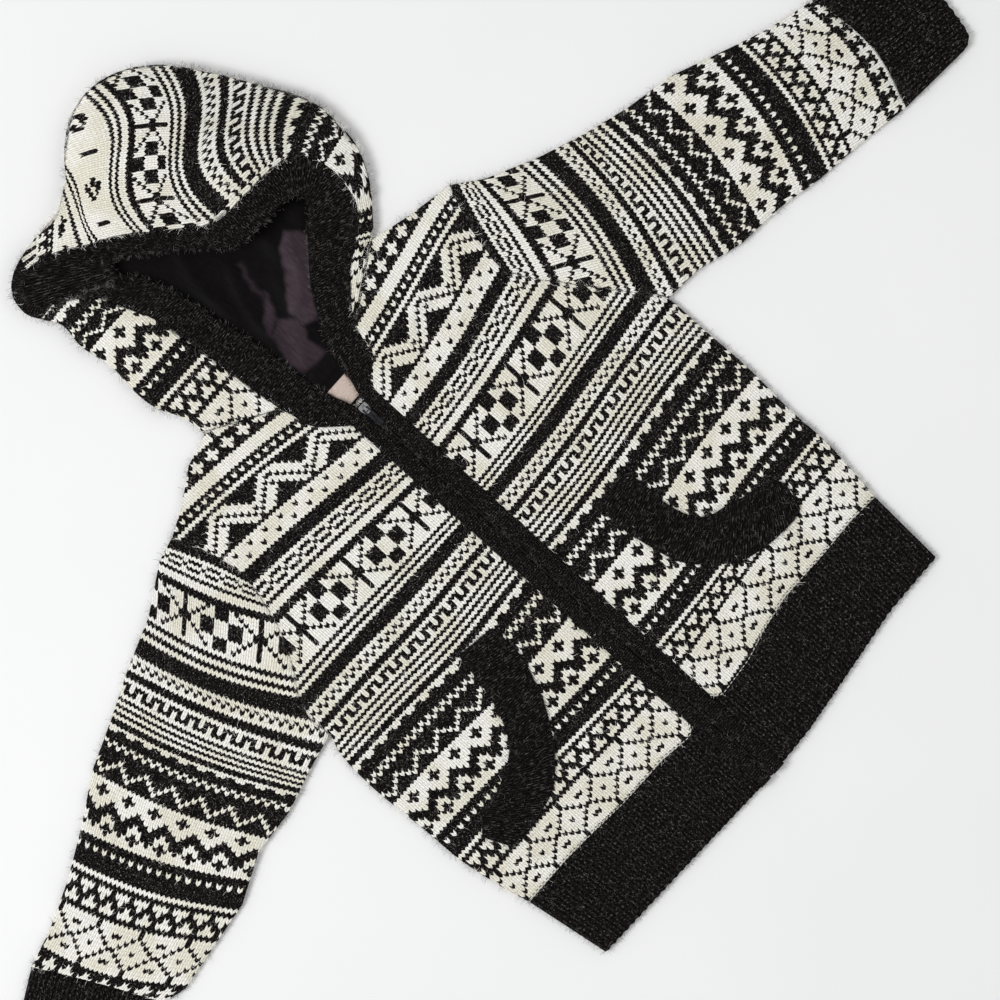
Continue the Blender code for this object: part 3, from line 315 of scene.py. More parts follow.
# Rows of the sleeves: x where a row meets the upper edge, x where it meets the lower edge below the armpit,
# and how far its middle swings towards the cuff.
SLEEVE_ROWS = [
    {"row": -6, "left": (-646, -578), "right": (612, 592), "swing": 12},
    {"row": 0, "left": (-615, -547), "right": (592, 563), "swing": 12},
    {"row": 11, "left": (-569, -497), "right": (552, 517), "swing": 10},
    {"row": 17.5, "left": (-533, -460), "right": (522, 489), "swing": 9},
    {"row": 25, "left": (-503, -428), "right": (492, 455), "swing": 8},
    {"row": 38, "left": (-452, -385), "right": (430, 402), "swing": 8},
    {"row": 46, "left": (-420, -346), "right": (398, 372), "swing": 8},
    {"row": 53, "left": (-401, -328), "right": (377, 352), "swing": 8},
    {"row": 60, "left": (-378, -309), "right": (347, 324), "swing": 8},
    {"row": 66, "left": (-356, -283), "right": (336, 297), "swing": 8},
    {"row": 69, "left": (-346, -266), "right": (327, 284), "swing": 8},
    {"row": 71, "left": (-338, -266), "right": (320, 284), "swing": 9},
    {"row": 75, "left": (-321, -262), "right": (301, 268), "swing": 10},
    {"row": 79, "left": (-302, -250), "right": (283, 256), "swing": 9},
    {"row": 91, "left": (-262, -226), "right": (247, 222), "swing": 6},
    {"row": 100, "left": (-236, -213), "right": (230, 203), "swing": -2},
    {"row": 104, "left": (-225, -206), "right": (222, 197), "swing": -8},
]
LAST_SLEEVE_ROW = 104
SLEEVE_UPPER = {
    "left": [(-650, 415), (-637, 422), (-600, 432), (-550, 452), (-500, 478), (-450, 508), (-400, 528),
             (-350, 550), (-300, 568), (-250, 598), (-225, 604), (-205, 612)],
    "right": [(205, 640), (222, 634), (250, 612), (300, 587), (350, 568), (400, 553), (450, 543), (500, 522),
              (550, 502), (605, 487), (615, 484)],
}
SLEEVE_LOWER = {
    "left": [(-590, 296), (-575, 300), (-550, 293), (-500, 300), (-450, 307), (-400, 330), (-350, 334),
             (-300, 348), (-265, 356)],
    "right": [(284, 396), (325, 393), (375, 378), (425, 374), (475, 363), (525, 357), (585, 347), (595, 346)],
}
CUFF_SEAM = {"left": [(-575, 300), (-604, 361), (-637, 422)], "right": [(585, 347), (607, 410), (605, 487)]}
CUFF_END = {
    "left": [(-633, 272), (-642, 270), (-651, 278), (-678, 325), (-702, 371), (-703, 380), (-696, 389)],
    "right": [(666, 342), (676, 345), (684, 358), (692, 400), (698, 450), (697, 461), (689, 469)],
}

# Creases: start, end, half width and height. A soft trough has a height below zero.
CREASES = {
    "front_left": [
        ((-140, 604), (-72, 540), 5, 2.6),
        ((-128, 588), (-76, 532), 5, -2.0),
        ((-60, 585), (-105, 560), 9, -1.6),
        ((-200, 560), (-150, 615), 10, 1.6),
        ((-250, 400), (-170, 440), 12, 1.4),
        ((-255, 340), (-150, 325), 11, 1.5),
        ((-262, 300), (-170, 270), 10, -1.2),
        ((-90, 350), (-60, 250), 12, 1.2),
        ((-100, 205), (-40, 190), 9, -1.4),
        ((-240, 160), (-190, 110), 8, 1.3),
    ],
    "front_right": [
        ((150, 594), (72, 556), 5, 2.6),
        ((148, 582), (84, 548), 6, -1.8),
        ((112, 640), (113, 600), 5, 2.0),
        ((76, 632), (68, 610), 6, -2.2),
        ((195, 560), (160, 625), 10, 1.4),
        ((240, 440), (160, 470), 12, 1.4),
        ((270, 380), (150, 350), 12, -1.2),
        ((60, 330), (110, 240), 12, 1.2),
        ((75, 185), (150, 135), 7, 2.0),
        ((95, 172), (160, 125), 6, -1.8),
        ((100, 205), (60, 160), 7, -1.4),
    ],
    "sleeve_left": [
        ((-280, 360), (-330, 430), 9, 1.6),
        ((-300, 352), (-370, 400), 8, -1.5),
        ((-420, 330), (-440, 420), 12, 1.4),
        ((-500, 300), (-520, 370), 12, -1.2),
        ((-350, 545), (-390, 470), 13, 1.4),
        ((-560, 440), (-590, 360), 11, 1.2),
        ((-240, 580), (-270, 500), 10, 1.2),
    ],
    "sleeve_right": [
        ((290, 400), (340, 470), 9, 1.6),
        ((310, 395), (380, 430), 8, -1.5),
        ((430, 380), (450, 470), 12, 1.4),
        ((500, 362), (515, 430), 12, -1.2),
        ((350, 560), (390, 480), 13, 1.4),
        ((560, 480), (575, 400), 11, 1.2),
        ((240, 600), (262, 520), 10, 1.2),
    ],
    "hood": [
        ((48, 846), (112, 856), 5, -4.2),
        ((-20, 900), (30, 870), 9, -1.6),
        ((-135, 800), (-80, 815), 8, -2.0),
        ((-138, 765), (-85, 750), 9, 1.6),
        ((-132, 700), (-75, 690), 8, -1.4),
        ((130, 790), (180, 790), 7, -2.0),
        ((150, 745), (190, 745), 7, -1.6),
    ],
}

# The left side strip of the hood: its rows, its fold and the edge of the face band.
HOOD_STRIP_ROWS = [(-6, 586), (0, 612), (11, 663), (17.5, 700), (22.5, 720), (25, 730), (38, 788), (46, 812),
                   (50.5, 830), (60, 868)]
HOOD_FOLD_LEFT = [(-126, 653), (-128, 676), (-139, 703), (-141, 732), (-138, 762), (-143, 797), (-140, 826),
                  (-148, 843)]
HOOD_FACE_LEFT = [(-57, 610), (-61, 650), (-64, 690), (-68, 725), (-73, 760), (-84, 788), (-97, 822),
                  (-138, 852)]
STRIP_TOP = 846

# The rest of the hood as a fan of rows round the crown: a row, its end at the face band, its end at the fold,
# how far its middle swings away from the crown, and how far its two halves are drawn apart by the crease.
HOOD_FAN = [
    (-3, (42, 619), (68, 599), 0, 0),
    (0, (53, 628), (79, 608), 0, 0),
    (3, (64, 636), (90, 616), 0, 0),
    (7, (79, 647), (105, 627), 0, 0),
    (11, (94, 657), (120, 640), 0, 0),
    (14, (102, 664), (127, 651), 0, 0),
    (17, (110, 671), (134, 657), 0, 0),
    (20, (117, 676), (141, 663), 0, 0),
    (25, (128, 686), (153, 675), 0, 0),
    (29.5, (146, 705), (175, 701), 0, 0),
    (33, (153, 716), (187, 722), 0, 0),
    (38, (151, 737), (191, 745), 0, 0),
    (46, (146, 757), (194, 773), -2, 0),
    (50, (137, 768), (190, 792), -4, 0),
    (54, (124, 772), (181, 815), -6, 0),
    (60, (103, 775), (166, 846), -11, 2),
    (66, (85, 775), (153, 871), -15, 5),
    (71, (65, 776), (138, 897), -15, 9),
    (75, (44, 777), (124, 919), -10, 11),
    (79, (27, 786), (110, 933), -5, 11),
    (85, (9, 802), (92, 948), 3, 10),
    (91, (-9, 817), (68, 959), 5, 12),
    (94.5, (-17, 826), (58, 962), 3, 12),
    (97, (-23, 832), (46, 963), 3, 11),
    (103, (-39, 844), (20, 957), 1, 7),
    (108, (-52, 853), (-18, 932), 0, 3),
    (112, (-62, 858), (-32, 919), 0, 0),
    (119, (-90, 878), (-62, 902), 0, 0),
    (128, (-112, 887), (-95, 904), 0, 0),
    (132, (-122, 888), (-118, 901), 0, 0),
]
NECK_SEAM_LEFT = [(-126, 652), (-57, 610)]
NECK_SEAM_RIGHT = [(20, 590), (56, 612), (133, 659), (150, 664)]
LAST_SEAM_ROW = 25
HOOD_GAP = 0.6
HOOD_BACK_LOW = 612
HOOD_OUTLINE = [(-126, 653), (-128, 676), (-139, 703), (-141, 732), (-138, 762), (-143, 797), (-140, 826),
                (-150, 847), (-156, 864), (-149, 886), (-125, 900), (-90, 904), (-55, 902), (-30, 921),
                (-6, 944), (26, 961), (64, 961), (101, 943), (130, 911), (151, 871), (172, 834), (189, 800),
                (194, 766), (189, 728), (174, 699), (160, 682), (149, 672), (140, 664), (133, 659)]

# The hood's left lobe, where the face band's black rib rolls over the fold: the outline and the band's edge.
LOBE = [((-138, 836), (-122, 840)), ((-150, 847), (-138, 852)), ((-156, 864), (-143, 864)),
        ((-149, 886), (-139, 877)), ((-128, 899), (-121, 886)), ((-108, 903), (-104, 883))]

# The face band and the pocket bands: the sewn edge and the free edge.
FACE_BAND = [
    ((-21, 545), (-5.4, 545)), ((-38, 562), (-7, 563)), ((-49, 576), (-11, 575)), ((-54, 600), (-17, 598)),
    ((-57, 610), (-19, 611)), ((-61, 650), (-22, 650)), ((-64, 690), (-28, 690)), ((-68, 725), (-34, 724)),
    ((-73, 760), (-39, 756)), ((-84, 788), (-45, 780)), ((-97, 822), (-52, 799)), ((-138, 852), (-62, 812)),
    ((-143, 864), (-66, 820)), ((-139, 877), (-64, 828)), ((-120, 886), (-58, 832)), ((-90, 878), (-50, 828)),
    ((-60, 857), (-38, 817)), ((-38, 843), (-22, 803)), ((-15, 823), (-2, 786)), ((5, 805), (13, 769)),
    ((22, 789), (26, 755)), ((38, 779), (40, 747)), ((56, 776), (56, 745)), ((78, 775), (78, 744)),
    ((101, 775), (98, 743)), ((125, 772), (110, 740)), ((146, 760), (114, 735)), ((155, 727), (112, 724)),
    ((150, 700), (100, 714)), ((142, 684), (90, 705)), ((120, 668), (75, 690)), ((90, 649), (50, 663)),
    ((56, 612), (22, 614)), ((52, 600), (18, 598)), ((45, 576), (11, 575)), ((23, 562), (7, 563)),
    ((20, 545), (5.4, 545)),
]
POCKET_BANDS = {
    "left": [((-118, 313), (-80, 307)), ((-122, 290), (-80, 276)), ((-128, 262), (-85, 255)),
             ((-135, 242), (-92, 238)), ((-143, 226), (-100, 220)), ((-153, 213), (-110, 204)),
             ((-168, 203), (-122, 188)), ((-184, 196), (-138, 171)), ((-204, 189), (-160, 155)),
             ((-226, 182), (-192, 148)), ((-238, 172), (-226, 145))],
    "right": [((125, 313), (85, 310)), ((128, 285), (85, 277)), ((128, 262), (89, 252)),
              ((132, 243), (93, 233)), ((140, 226), (98, 215)), ((152, 218), (107, 200)),
              ((168, 213), (122, 183)), ((186, 206), (142, 168)), ((204, 200), (168, 160)),
              ((219, 193), (200, 157)), ((224, 182), (217, 160))],
}
ZIP_BANDS = {
    "left": [((-16, 0), (-2.4, 0)), ((-17, 90), (-2.4, 90)), ((-19, 300), (-2.4, 300)),
             ((-20.5, 515), (-2.4, 515)), ((-21, 538), (-5.2, 538)), ((-21, 544.6), (-5.2, 544.6))],
    "right": [((17, 0), (2.4, 0)), ((18, 90), (2.4, 90)), ((19, 300), (2.4, 300)),
              ((20, 515), (2.4, 515)), ((20, 538), (5.2, 538)), ((20, 544.6), (5.2, 544.6))],
}
POCKET_SPREAD = 2.6
ZIP_BAND_SWELL = 1.6

# The satin lining: its folds, its height, how finely it is cut, and (y, left edge, right edge) up the hood.
LINING_FOLDS = [
    ((-20, 590), (40, 700), 9, 2.2),
    ((-10, 640), (10, 745), 7, 1.8),
    ((12, 640), (82, 722), 10, 3.0),
    ((28, 640), (96, 716), 7, -2.0),
    ((-30, 690), (-5, 790), 8, 2.0),
    ((50, 690), (60, 800), 10, 2.0),
    ((90, 700), (130, 790), 11, 2.2),
    ((-60, 640), (-70, 790), 9, 1.6),
]
# Where the satin catches the light: beside the neck seam and along the fold that crosses the opening.
SATIN_LIGHTS = [
    {"outline": [(-15, 614), (16, 614), (14, 636), (21, 654), (8, 674), (-9, 664), (-18, 640)], "share": 0.5},
    {"outline": [(16, 648), (33, 640), (54, 668), (90, 692), (88, 714), (77, 724), (62, 718), (38, 690),
                 (22, 668)], "share": 0.7},
    {"outline": [(-10, 663), (10, 674), (18, 700), (7, 692), (-5, 680)], "share": 0.45},
    {"outline": [(9, 694), (15, 692), (24, 735), (19, 737)], "share": 0.3},
]
SATIN_EDGE = 5
LINING_EDGES = [(559, -34, 34), (612, -50, 50), (645, -96, 100), (700, -116, 148), (760, -118, 166),
                (810, -118, 150), (850, -100, 132), (890, -40, 110), (925, 0, 80)]
NECK_TAPE = {"y": (594, 612), "high": 0.7}
LINING_HIGH = 4.9
LINING_STEPS = (180, 130)
LABEL = {"corner": (-14, 561), "size": (26, 25), "high": 5.6, "swell": 0.5, "points": 12}


def metres(x, y, z):
    """Columns of table millimetres as rows of points in metres."""
    return np.stack([np.asarray(x) * MM, (np.asarray(y) - ORIGIN_Y) * MM, np.asarray(z) * MM], axis=-1)


def line_at(line, t, key=0):
    """The other coordinate of a line of points at t, where the points are sorted by their coordinate key."""
    points = sorted(line, key=lambda p: p[key])
    return np.interp(t, [p[key] for p in points], [p[1 - key] for p in points])


def smooth_line(points, steps=6):
    """The points with a soft curve drawn through them."""
    made = []
    last = len(points) - 1
    for i in range(last):
        a, b, c, d = [np.array(points[min(max(k, 0), last)], float) for k in (i - 1, i, i + 1, i + 2)]
        for k in range(steps):
            t = k / steps
            bend = t * (2 * a - 5 * b + 4 * c - d + t * (3 * (b - c) + d - a))
            made.append(tuple(b + 0.5 * t * (c - a + bend)))
    made.append(tuple(map(float, points[-1])))
    return made


def solid_surface(node):
    """The surface of a CAD node, for casting rays at it."""
    mesh = frame["nodes"][node].data
    points = [v.co.copy() for v in mesh.vertices]
    return BVHTree.FromPolygons(points, [tuple(p.vertices) for p in mesh.polygons])


def heights_on(node, x, y, below=False):
    """How high the solid's upper side is at each point, or its underside, in millimetres."""
    tree = solid_surface(node)
    start = -0.05 if below else 0.2
    way = Vector((0, 0, 1 if below else -1))
    found = np.empty(x.size)
    flat = metres(x, y, np.zeros_like(x)).reshape(-1, 3)
    middle = sum(corner.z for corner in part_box(node)) / 2
    for i, (px, py, _) in enumerate(flat):
        hit = tree.ray_cast(Vector((px, py, start)), way)[0]
        if hit is None:
            hit = tree.find_nearest(Vector((px, py, middle)))[0]
        found[i] = hit.z
    return found.reshape(x.shape) / MM


def soften(grid, passes):
    """The grid with each value drawn towards its neighbours."""
    for _ in range(passes):
        for axis in (0, 1):
            padded = np.pad(grid, [(1, 1) if k == axis else (0, 0) for k in (0, 1)], mode="edge")
            before = np.take(padded, range(0, grid.shape[axis]), axis)
            after = np.take(padded, range(2, grid.shape[axis] + 2), axis)
            grid = 0.5 * grid + 0.25 * (before + after)
    return grid


def sway(x, y):
    """A slow, uneven swell of cloth that doesn't lie quite flat."""
    return (0.45 * np.sin(x / 41 + 1.7 * np.sin(y / 67)) + 0.35 * np.sin(y / 33 + 1.3 * np.sin(x / 54) + 2)
            + 0.2 * np.sin((x + y) / 17 + np.sin(y / 23)))


def chart_is_black(chart, column, row):
    """Whether the stitch of the chart is black. The columns are moved by the shift of their group of rows."""
    shift = [moved for first, moved in chart["shifts"] if row >= first or first == FIRST_ROW][-1]
    stitches = chart["rows"][min(max(row - FIRST_ROW, 0), len(chart["rows"]) - 1)]
    return stitches[(column + shift) % len(stitches)] == "K"


def place(name, data):
    """A new object in the scene."""
    thing = bpy.data.objects.new(name, data)
    bpy.context.scene.collection.objects.link(thing)
    return thing


def make_mesh(name, points, faces, black, stitch_uv, finish, slot):
    """A mesh piece with its yarn colour on the faces and its stitch numbers as a UV map."""
    mesh = bpy.data.meshes.new(name)
    mesh.from_pydata(points, [], faces)
    yarn = mesh.attributes.new("yarn", "FLOAT", "FACE")
    yarn.data.foreach_set("value", np.asarray(black, np.float32))
    uv = mesh.uv_layers.new(name="stitches")
    corners = np.empty(len(mesh.loops), np.int32)
    mesh.loops.foreach_get("vertex_index", corners)
    uv.data.foreach_set("uv", np.asarray(stitch_uv, np.float32)[corners].ravel())
    mesh.materials.append(finish)
    mesh.shade_smooth()
    piece = place(name, mesh)
    return piece


def shell_parts(points, keep, black, stitch_uv, rim, flip=False):
    """Vertices, faces, yarn colours and UVs of a grid's kept cells, with a rim at every open edge."""
    rows, columns = keep.shape
    r, c = np.nonzero(keep)
    start = r * (columns + 1) + c
    quads = np.stack([start, start + 1, start + columns + 2, start + columns + 1], axis=1)
    if flip:
        quads = quads[:, ::-1]
    used, small = np.unique(quads, return_inverse=True)
    quads = small.reshape(-1, 4)
    spots = points.reshape(-1, 3)[used]
    uvs = stitch_uv.reshape(-1, 2)[used]
    colours = black[keep].astype(float)
    if rim:
        edges = np.stack([quads, np.roll(quads, -1, axis=1)], axis=2).reshape(-1, 2)
        owner = np.repeat(np.arange(len(quads)), 4)
        size = len(spots)
        code = edges[:, 0] * size + edges[:, 1]
        back = edges[:, 1] * size + edges[:, 0]
        open_edge = ~np.isin(code, back)
        a, b = edges[open_edge].T
        rim_spots, place = np.unique(np.concatenate([a, b]), return_inverse=True)
        lowered = spots[rim_spots].copy()
        lowered[:, 2] = np.maximum(lowered[:, 2] - rim * MM, LEAST_RIM_HEIGHT)
        new_a, new_b = size + place[:len(a)], size + place[len(a):]
        quads = np.concatenate([quads, np.stack([b, a, new_a, new_b], axis=1)])
        spots = np.concatenate([spots, lowered])
        uvs = np.concatenate([uvs, uvs[rim_spots]])
        colours = np.concatenate([colours, colours[owner[open_edge]]])
    return spots, quads, colours, uvs


def join_parts(parts):
    """Several shells' arrays as one."""
    spots, quads, colours, uvs = [], [], [], []
    total = 0
    for part in parts:
        spots.append(part[0])
        quads.append(part[1] + total)
        colours.append(part[2])
        uvs.append(part[3])
        total += len(part[0])
    return np.concatenate(spots), np.concatenate(quads), np.concatenate(colours), np.concatenate(uvs)


def stray(shape, seed):
    """Small uneven shifts, alike at neighbouring points."""
    random = np.random.default_rng(seed)
    return soften(random.normal(0, 1, shape), 1) * STITCH_STRAY


def knit(node, layout, columns, rows, fine=True, below=False, rim=RIM["front"], mirrored=False,
         softness=5, chart=BODY_CHART, shift=0):
    """A shell of knit stitches on a solid.

    layout turns stitch numbers into x, y and a mask of the points that fall outside the piece, which it has
    already moved onto the piece's edge. columns and rows are the first and last stitch each way, fine is for
    cloth that shows, mirrored turns the chart round at the zip line, softness is how often the height is
    smoothed, and shift moves the chart sideways.
    """
    across, along = (4, 2) if fine else (2, 1)
    c = np.arange(columns[0] * across, columns[1] * across + 1)
    r = np.arange(rows[0] * along, rows[1] * along + 1)
    u = np.repeat((c / across)[None, :], len(r), axis=0)
    lift = V_POINT * np.abs(2 * (c / across - np.floor(c / across)) - 1)
    v = (r / along)[:, None] + lift[None, :]
    x, y, outside = layout(u, v)
    cell_out = outside[:-1, :-1] & outside[1:, :-1] & outside[:-1, 1:] & outside[1:, 1:]
    stitch_column = np.floor(c[:-1] / across).astype(int)
    stitch_row = np.floor(r[:-1] / along).astype(int)
    if mirrored:
        stitch_column = -1 - stitch_column
    black = np.array([[chart_is_black(chart, i + shift, j) for i in stitch_column] for j in stitch_row])
    if chart is CROWN_CHART:
        looped = (stitch_row >= CROWN_LOOP_ROWS[0]) & (stitch_row < CROWN_LOOP_ROWS[1])
        black_between = stitch_row[looped] % CROWN_LOOP_EVERY == 0
        black[np.ix_(looped, stitch_column == 0)] = black_between[:, None]
    z = soften(heights_on(node, x, y, below), softness if fine else 1)
    if fine:
        leg = LEG_HEIGHTS[c % across]
        row_dip = ROW_DIPS[r % along]
        z = z + sway(x, y) * SWELL["knit"] + fold_height(CREASES.get(node, []), x, y)
        z = z + STITCH_RISE * row_dip[:, None] * leg[None, :]
        x = np.where(outside, x, x + stray(x.shape, 1))
        y = np.where(outside, y, y + stray(x.shape, 2))
    else:
        groove = np.array([1.0, 0.0])[c % 2]
        z = np.maximum(z, 0) + BACK_RISE * groove[None, :]
    stitches = np.stack([u, np.broadcast_to((r / along)[:, None], u.shape)], axis=-1)
    return shell_parts(metres(x, y, z), ~cell_out, black, stitches, rim, flip=below)


def fold_height(folds, x, y):
    """How far folds lift the cloth. Each runs from start to end with an uneven, bending crest."""
    total = np.zeros_like(x)
    for fold in folds:
        (x0, y0), (x1, y1), wide, high = fold
        run_x, run_y = x1 - x0, y1 - y0
        long = math.hypot(run_x, run_y)
        along = np.clip(((x - x0) * run_x + (y - y0) * run_y) / long ** 2, 0, 1)
        bend = 0.06 * long * np.sin(along * 4.5 + x0)
        off_x = x - x0 - along * run_x - bend * run_y / long
        off_y = y - y0 - along * run_y + bend * run_x / long
        uneven = np.sin(np.pi * (0.1 + 0.8 * along)) * (0.8 + 0.2 * np.sin(along * 9 + y0))
        total += high * uneven * np.exp(-(np.hypot(off_x, off_y) / wide) ** 2)
    return total


def row_height(side, v, x):
    """y of a row on a front at x."""
    rows = [entry["row"] for entry in ROW_HEIGHTS]
    stations = ROW_STATIONS[side]
    columns = [np.interp(v, rows, [entry[side][k] for entry in ROW_HEIGHTS]) for k in range(len(stations))]
    total = np.zeros_like(v)
    for off in (-ROW_BEND, 0, ROW_BEND):
        spot = np.clip(x + off, stations[0], stations[-1])
        value = columns[0].copy()
        for k in range(1, len(stations)):
            t = np.clip((spot - stations[k - 1]) / (stations[k] - stations[k - 1]), 0, 1)
            value += t * (columns[k] - columns[k - 1])
        total += value
    return total / 3


def front_layout(side):
    """The layout of a front, between the body's side, the zip band, the hem join and the shoulder."""
    outer = smooth_line(BODY_SIDES[side])
    inner = BAND_EDGES[side]
    top = FRONT_TOPS[side]

    def layout(u, v):
        x = STITCH_WIDE * u
        y = row_height(side, v, x)
        out_x, in_x = line_at(outer, y, 1), line_at(inner, y, 1)
        low, high = np.minimum(out_x, in_x), np.maximum(out_x, in_x)
        kept_x = np.clip(x, low, high)
        kept_y = np.clip(y, line_at(HEM_JOIN, kept_x) + HEM_GAP, line_at(top, kept_x) - TOP_GAP)
        outside = (x != kept_x) | (y != kept_y)
        return kept_x, kept_y, outside

    return layout


def back_layout(u, v):
    """The layout of the back, whose rows run on from one front's rows to the other's."""
    x = STITCH_WIDE * u
    left_row = row_height("left", v, np.minimum(x, ROW_STATIONS["left"][-1]))
    right_row = row_height("right", v, np.maximum(x, ROW_STATIONS["right"][0]))
    blend = np.clip((x + BACK_BLEND) / (2 * BACK_BLEND), 0, 1)
    y = left_row + blend * (right_row - left_row)
    left_x = line_at(smooth_line(BODY_SIDES["left"]), y, 1)
    right_x = line_at(smooth_line(BODY_SIDES["right"]), y, 1)
    kept_x = np.clip(x, left_x, right_x)
    kept_y = np.clip(y, line_at(HEM_JOIN, kept_x) + BACK_HEM_GAP, line_at(BACK_TOP, kept_x) - BACK_TOP_GAP)
    return kept_x, kept_y, (x != kept_x) | (y != kept_y)


def sleeve_layout(side):
    """Rows across the sleeve. Above the armpit they start at the armhole, where they meet the body's rows."""
    rows = [entry["row"] for entry in SLEEVE_ROWS]
    armhole = [p for p in smooth_line(BODY_SIDES[side]) if p[1] >= BODY_SIDES[side][ARMPIT_POINT][1]]
    armhole_x, armhole_y = np.array(armhole).T
    upper, lower = SLEEVE_UPPER[side], SLEEVE_LOWER[side]
    turn = -1 if side == "left" else 1
    rows_there = ARMHOLE_BODY_ROWS
    met = np.array([np.interp(y, row_height(side, rows_there, np.full_like(rows_there, x)), rows_there)
                    for x, y in armhole])
    armpit_row = np.interp(turn * armhole_x[0], *lower_edge_rows(side))
    met = met + (armpit_row - met[0]) * (1 - np.clip((met - met[0]) / MITRE_MEETS_AFTER, 0, 1))
    met = np.maximum.accumulate(np.minimum(met, LAST_SLEEVE_ROW))

    def layout(u, v):
        top_x = np.interp(v, rows, [entry[side][0] for entry in SLEEVE_ROWS])
        low_x = np.interp(v, rows, [entry[side][1] for entry in SLEEVE_ROWS])
        top_y = line_at(upper, top_x)
        low_y = line_at(lower, low_x)
        past = v > met[0]
        low_x = np.where(past, np.interp(v, met, armhole_x), low_x)
        low_y = np.where(past, np.interp(v, met, armhole_y), low_y)
        long = np.hypot(top_x - low_x, top_y - low_y)
        in_cap = CAP_MIDDLE * SLEEVE_WIDE[side] + (0.5 - CAP_MIDDLE) * long
        from_top = np.where(v > MIDDLE_ROW, in_cap, long / 2)
        along = long - from_top + turn * STITCH_WIDE * u
        kept = np.clip(along, 0, long)
        share = kept / np.maximum(long, 1e-6)
        swing = turn * np.interp(v, rows, [entry["swing"] for entry in SLEEVE_ROWS]) * np.sin(np.pi * share)
        x = low_x + share * (top_x - low_x) + swing
        y = low_y + share * (top_y - low_y)
        seam = line_at(smooth_line(CUFF_SEAM[side]), y, 1) - turn * CUFF_GAP
        past_seam = turn * (x - seam) > 0
        x = np.where(past_seam, seam, x)
        hole = line_at(armhole, y, 1) + turn * ARMHOLE_GAP
        inside_body = (turn * (x - hole) < 0) & (y > armhole_y[0])
        x = np.where(inside_body, hole, x)
        outside = (along != kept) | past_seam | inside_body | (v > LAST_SLEEVE_ROW)
        return x, y, outside

    return layout


def lower_edge_rows(side):
    """Distances from the zip line along the sleeve's lower edge, and the row that meets the edge at each."""
    below_armpit = [entry for entry in SLEEVE_ROWS if entry["row"] <= ARMPIT_SLEEVE_ROW][::-1]
    return [abs(entry[side][1]) for entry in below_armpit], [entry["row"] for entry in below_armpit]


def strip_layout(u, v):
    """The left strip of the hood, with rows straight across."""
    x = STITCH_WIDE * u
    y = np.interp(v, [p[0] for p in HOOD_STRIP_ROWS], [p[1] for p in HOOD_STRIP_ROWS])
    fold = line_at(smooth_line(HOOD_FOLD_LEFT), y, 1)
    face = line_at(HOOD_FACE_LEFT, y, 1)
    kept_x = np.clip(x, fold, np.maximum(face, fold + 1))
    seam = line_at(NECK_SEAM_LEFT, kept_x) + HOOD_GAP
    kept_y = np.clip(y, seam, STRIP_TOP)
    return kept_x, kept_y, (x != kept_x) | (y != kept_y)


def nearest_on_line(line, x, y):
    """The nearest point of a line to each point, and a number below zero on the line's right-hand side."""
    least = np.full(x.shape, np.inf)
    near_x, near_y, side_of = x.copy(), y.copy(), np.zeros(x.shape)
    for (ax, ay), (bx, by) in zip(line, line[1:]):
        run_x, run_y = bx - ax, by - ay
        t = np.clip(((x - ax) * run_x + (y - ay) * run_y) / (run_x ** 2 + run_y ** 2), 0, 1)
        px, py = ax + t * run_x, ay + t * run_y
        off = np.hypot(x - px, y - py)
        closer = off < least
        least = np.where(closer, off, least)
        near_x, near_y = np.where(closer, px, near_x), np.where(closer, py, near_y)
        side_of = np.where(closer, run_x * (y - ay) - run_y * (x - ax), side_of)
    return near_x, near_y, side_of


def fan_layout(u, v):
    """The right strip and the crown, with rows that fan round the face."""
    rows, faces, folds, swings, twists = zip(*HOOD_FAN)
    face = [np.interp(v, rows, [end[k] for end in faces]) for k in (0, 1)]
    fold = [np.interp(v, rows, [end[k] for end in folds]) for k in (0, 1)]
    run_x, run_y = fold[0] - face[0], fold[1] - face[1]
    long = np.hypot(run_x, run_y)
    along = CROWN_STITCH_WIDE * u
    kept = np.clip(along, 0, long)
    share = kept / long
    swing = np.interp(v, rows, swings) * np.sin(np.pi * share)
    twist = np.interp(v, rows, twists) * np.sin(2 * np.pi * share)
    bend = (swing - twist) / long
    x = face[0] + share * run_x + bend * run_y
    y = face[1] + share * run_y - bend * run_x
    seam = line_at(NECK_SEAM_RIGHT, x) + HOOD_GAP
    below = (y < seam) & (v < LAST_SEAM_ROW)
    y = np.where(below, seam, y)
    edge = [pair[0] for pair in FACE_BAND]
    near_x, near_y, side_of = nearest_on_line(smooth_line(edge, 3), x, y)
    in_face = side_of < 0
    x, y = np.where(in_face, near_x, x), np.where(in_face, near_y, y)
    outside = (along != kept) | (v < 0) | (v > rows[-1]) | below | in_face
    return x, y, outside


def hood_back_layout(u, v):
    """The layout of the hood's underside, within its outline."""
    x = STITCH_WIDE * u
    y = HOOD_BACK_LOW + BACK_STITCH_HIGH * v
    outline = np.array(smooth_line(HOOD_OUTLINE))
    crest = outline[:, 1].argmax()
    left, right = outline[:crest + 1], outline[crest:]
    kept_y = np.clip(y, line_at(BACK_TOP, x) + HOOD_GAP, outline[crest, 1] - 0.2)
    low = np.interp(kept_y, np.maximum.accumulate(left[:, 1]), left[:, 0])
    high = np.interp(kept_y, right[::-1, 1], right[::-1, 0])
    kept_x = np.clip(x, low, high)
    return kept_x, kept_y, (x != kept_x) | (y != kept_y)


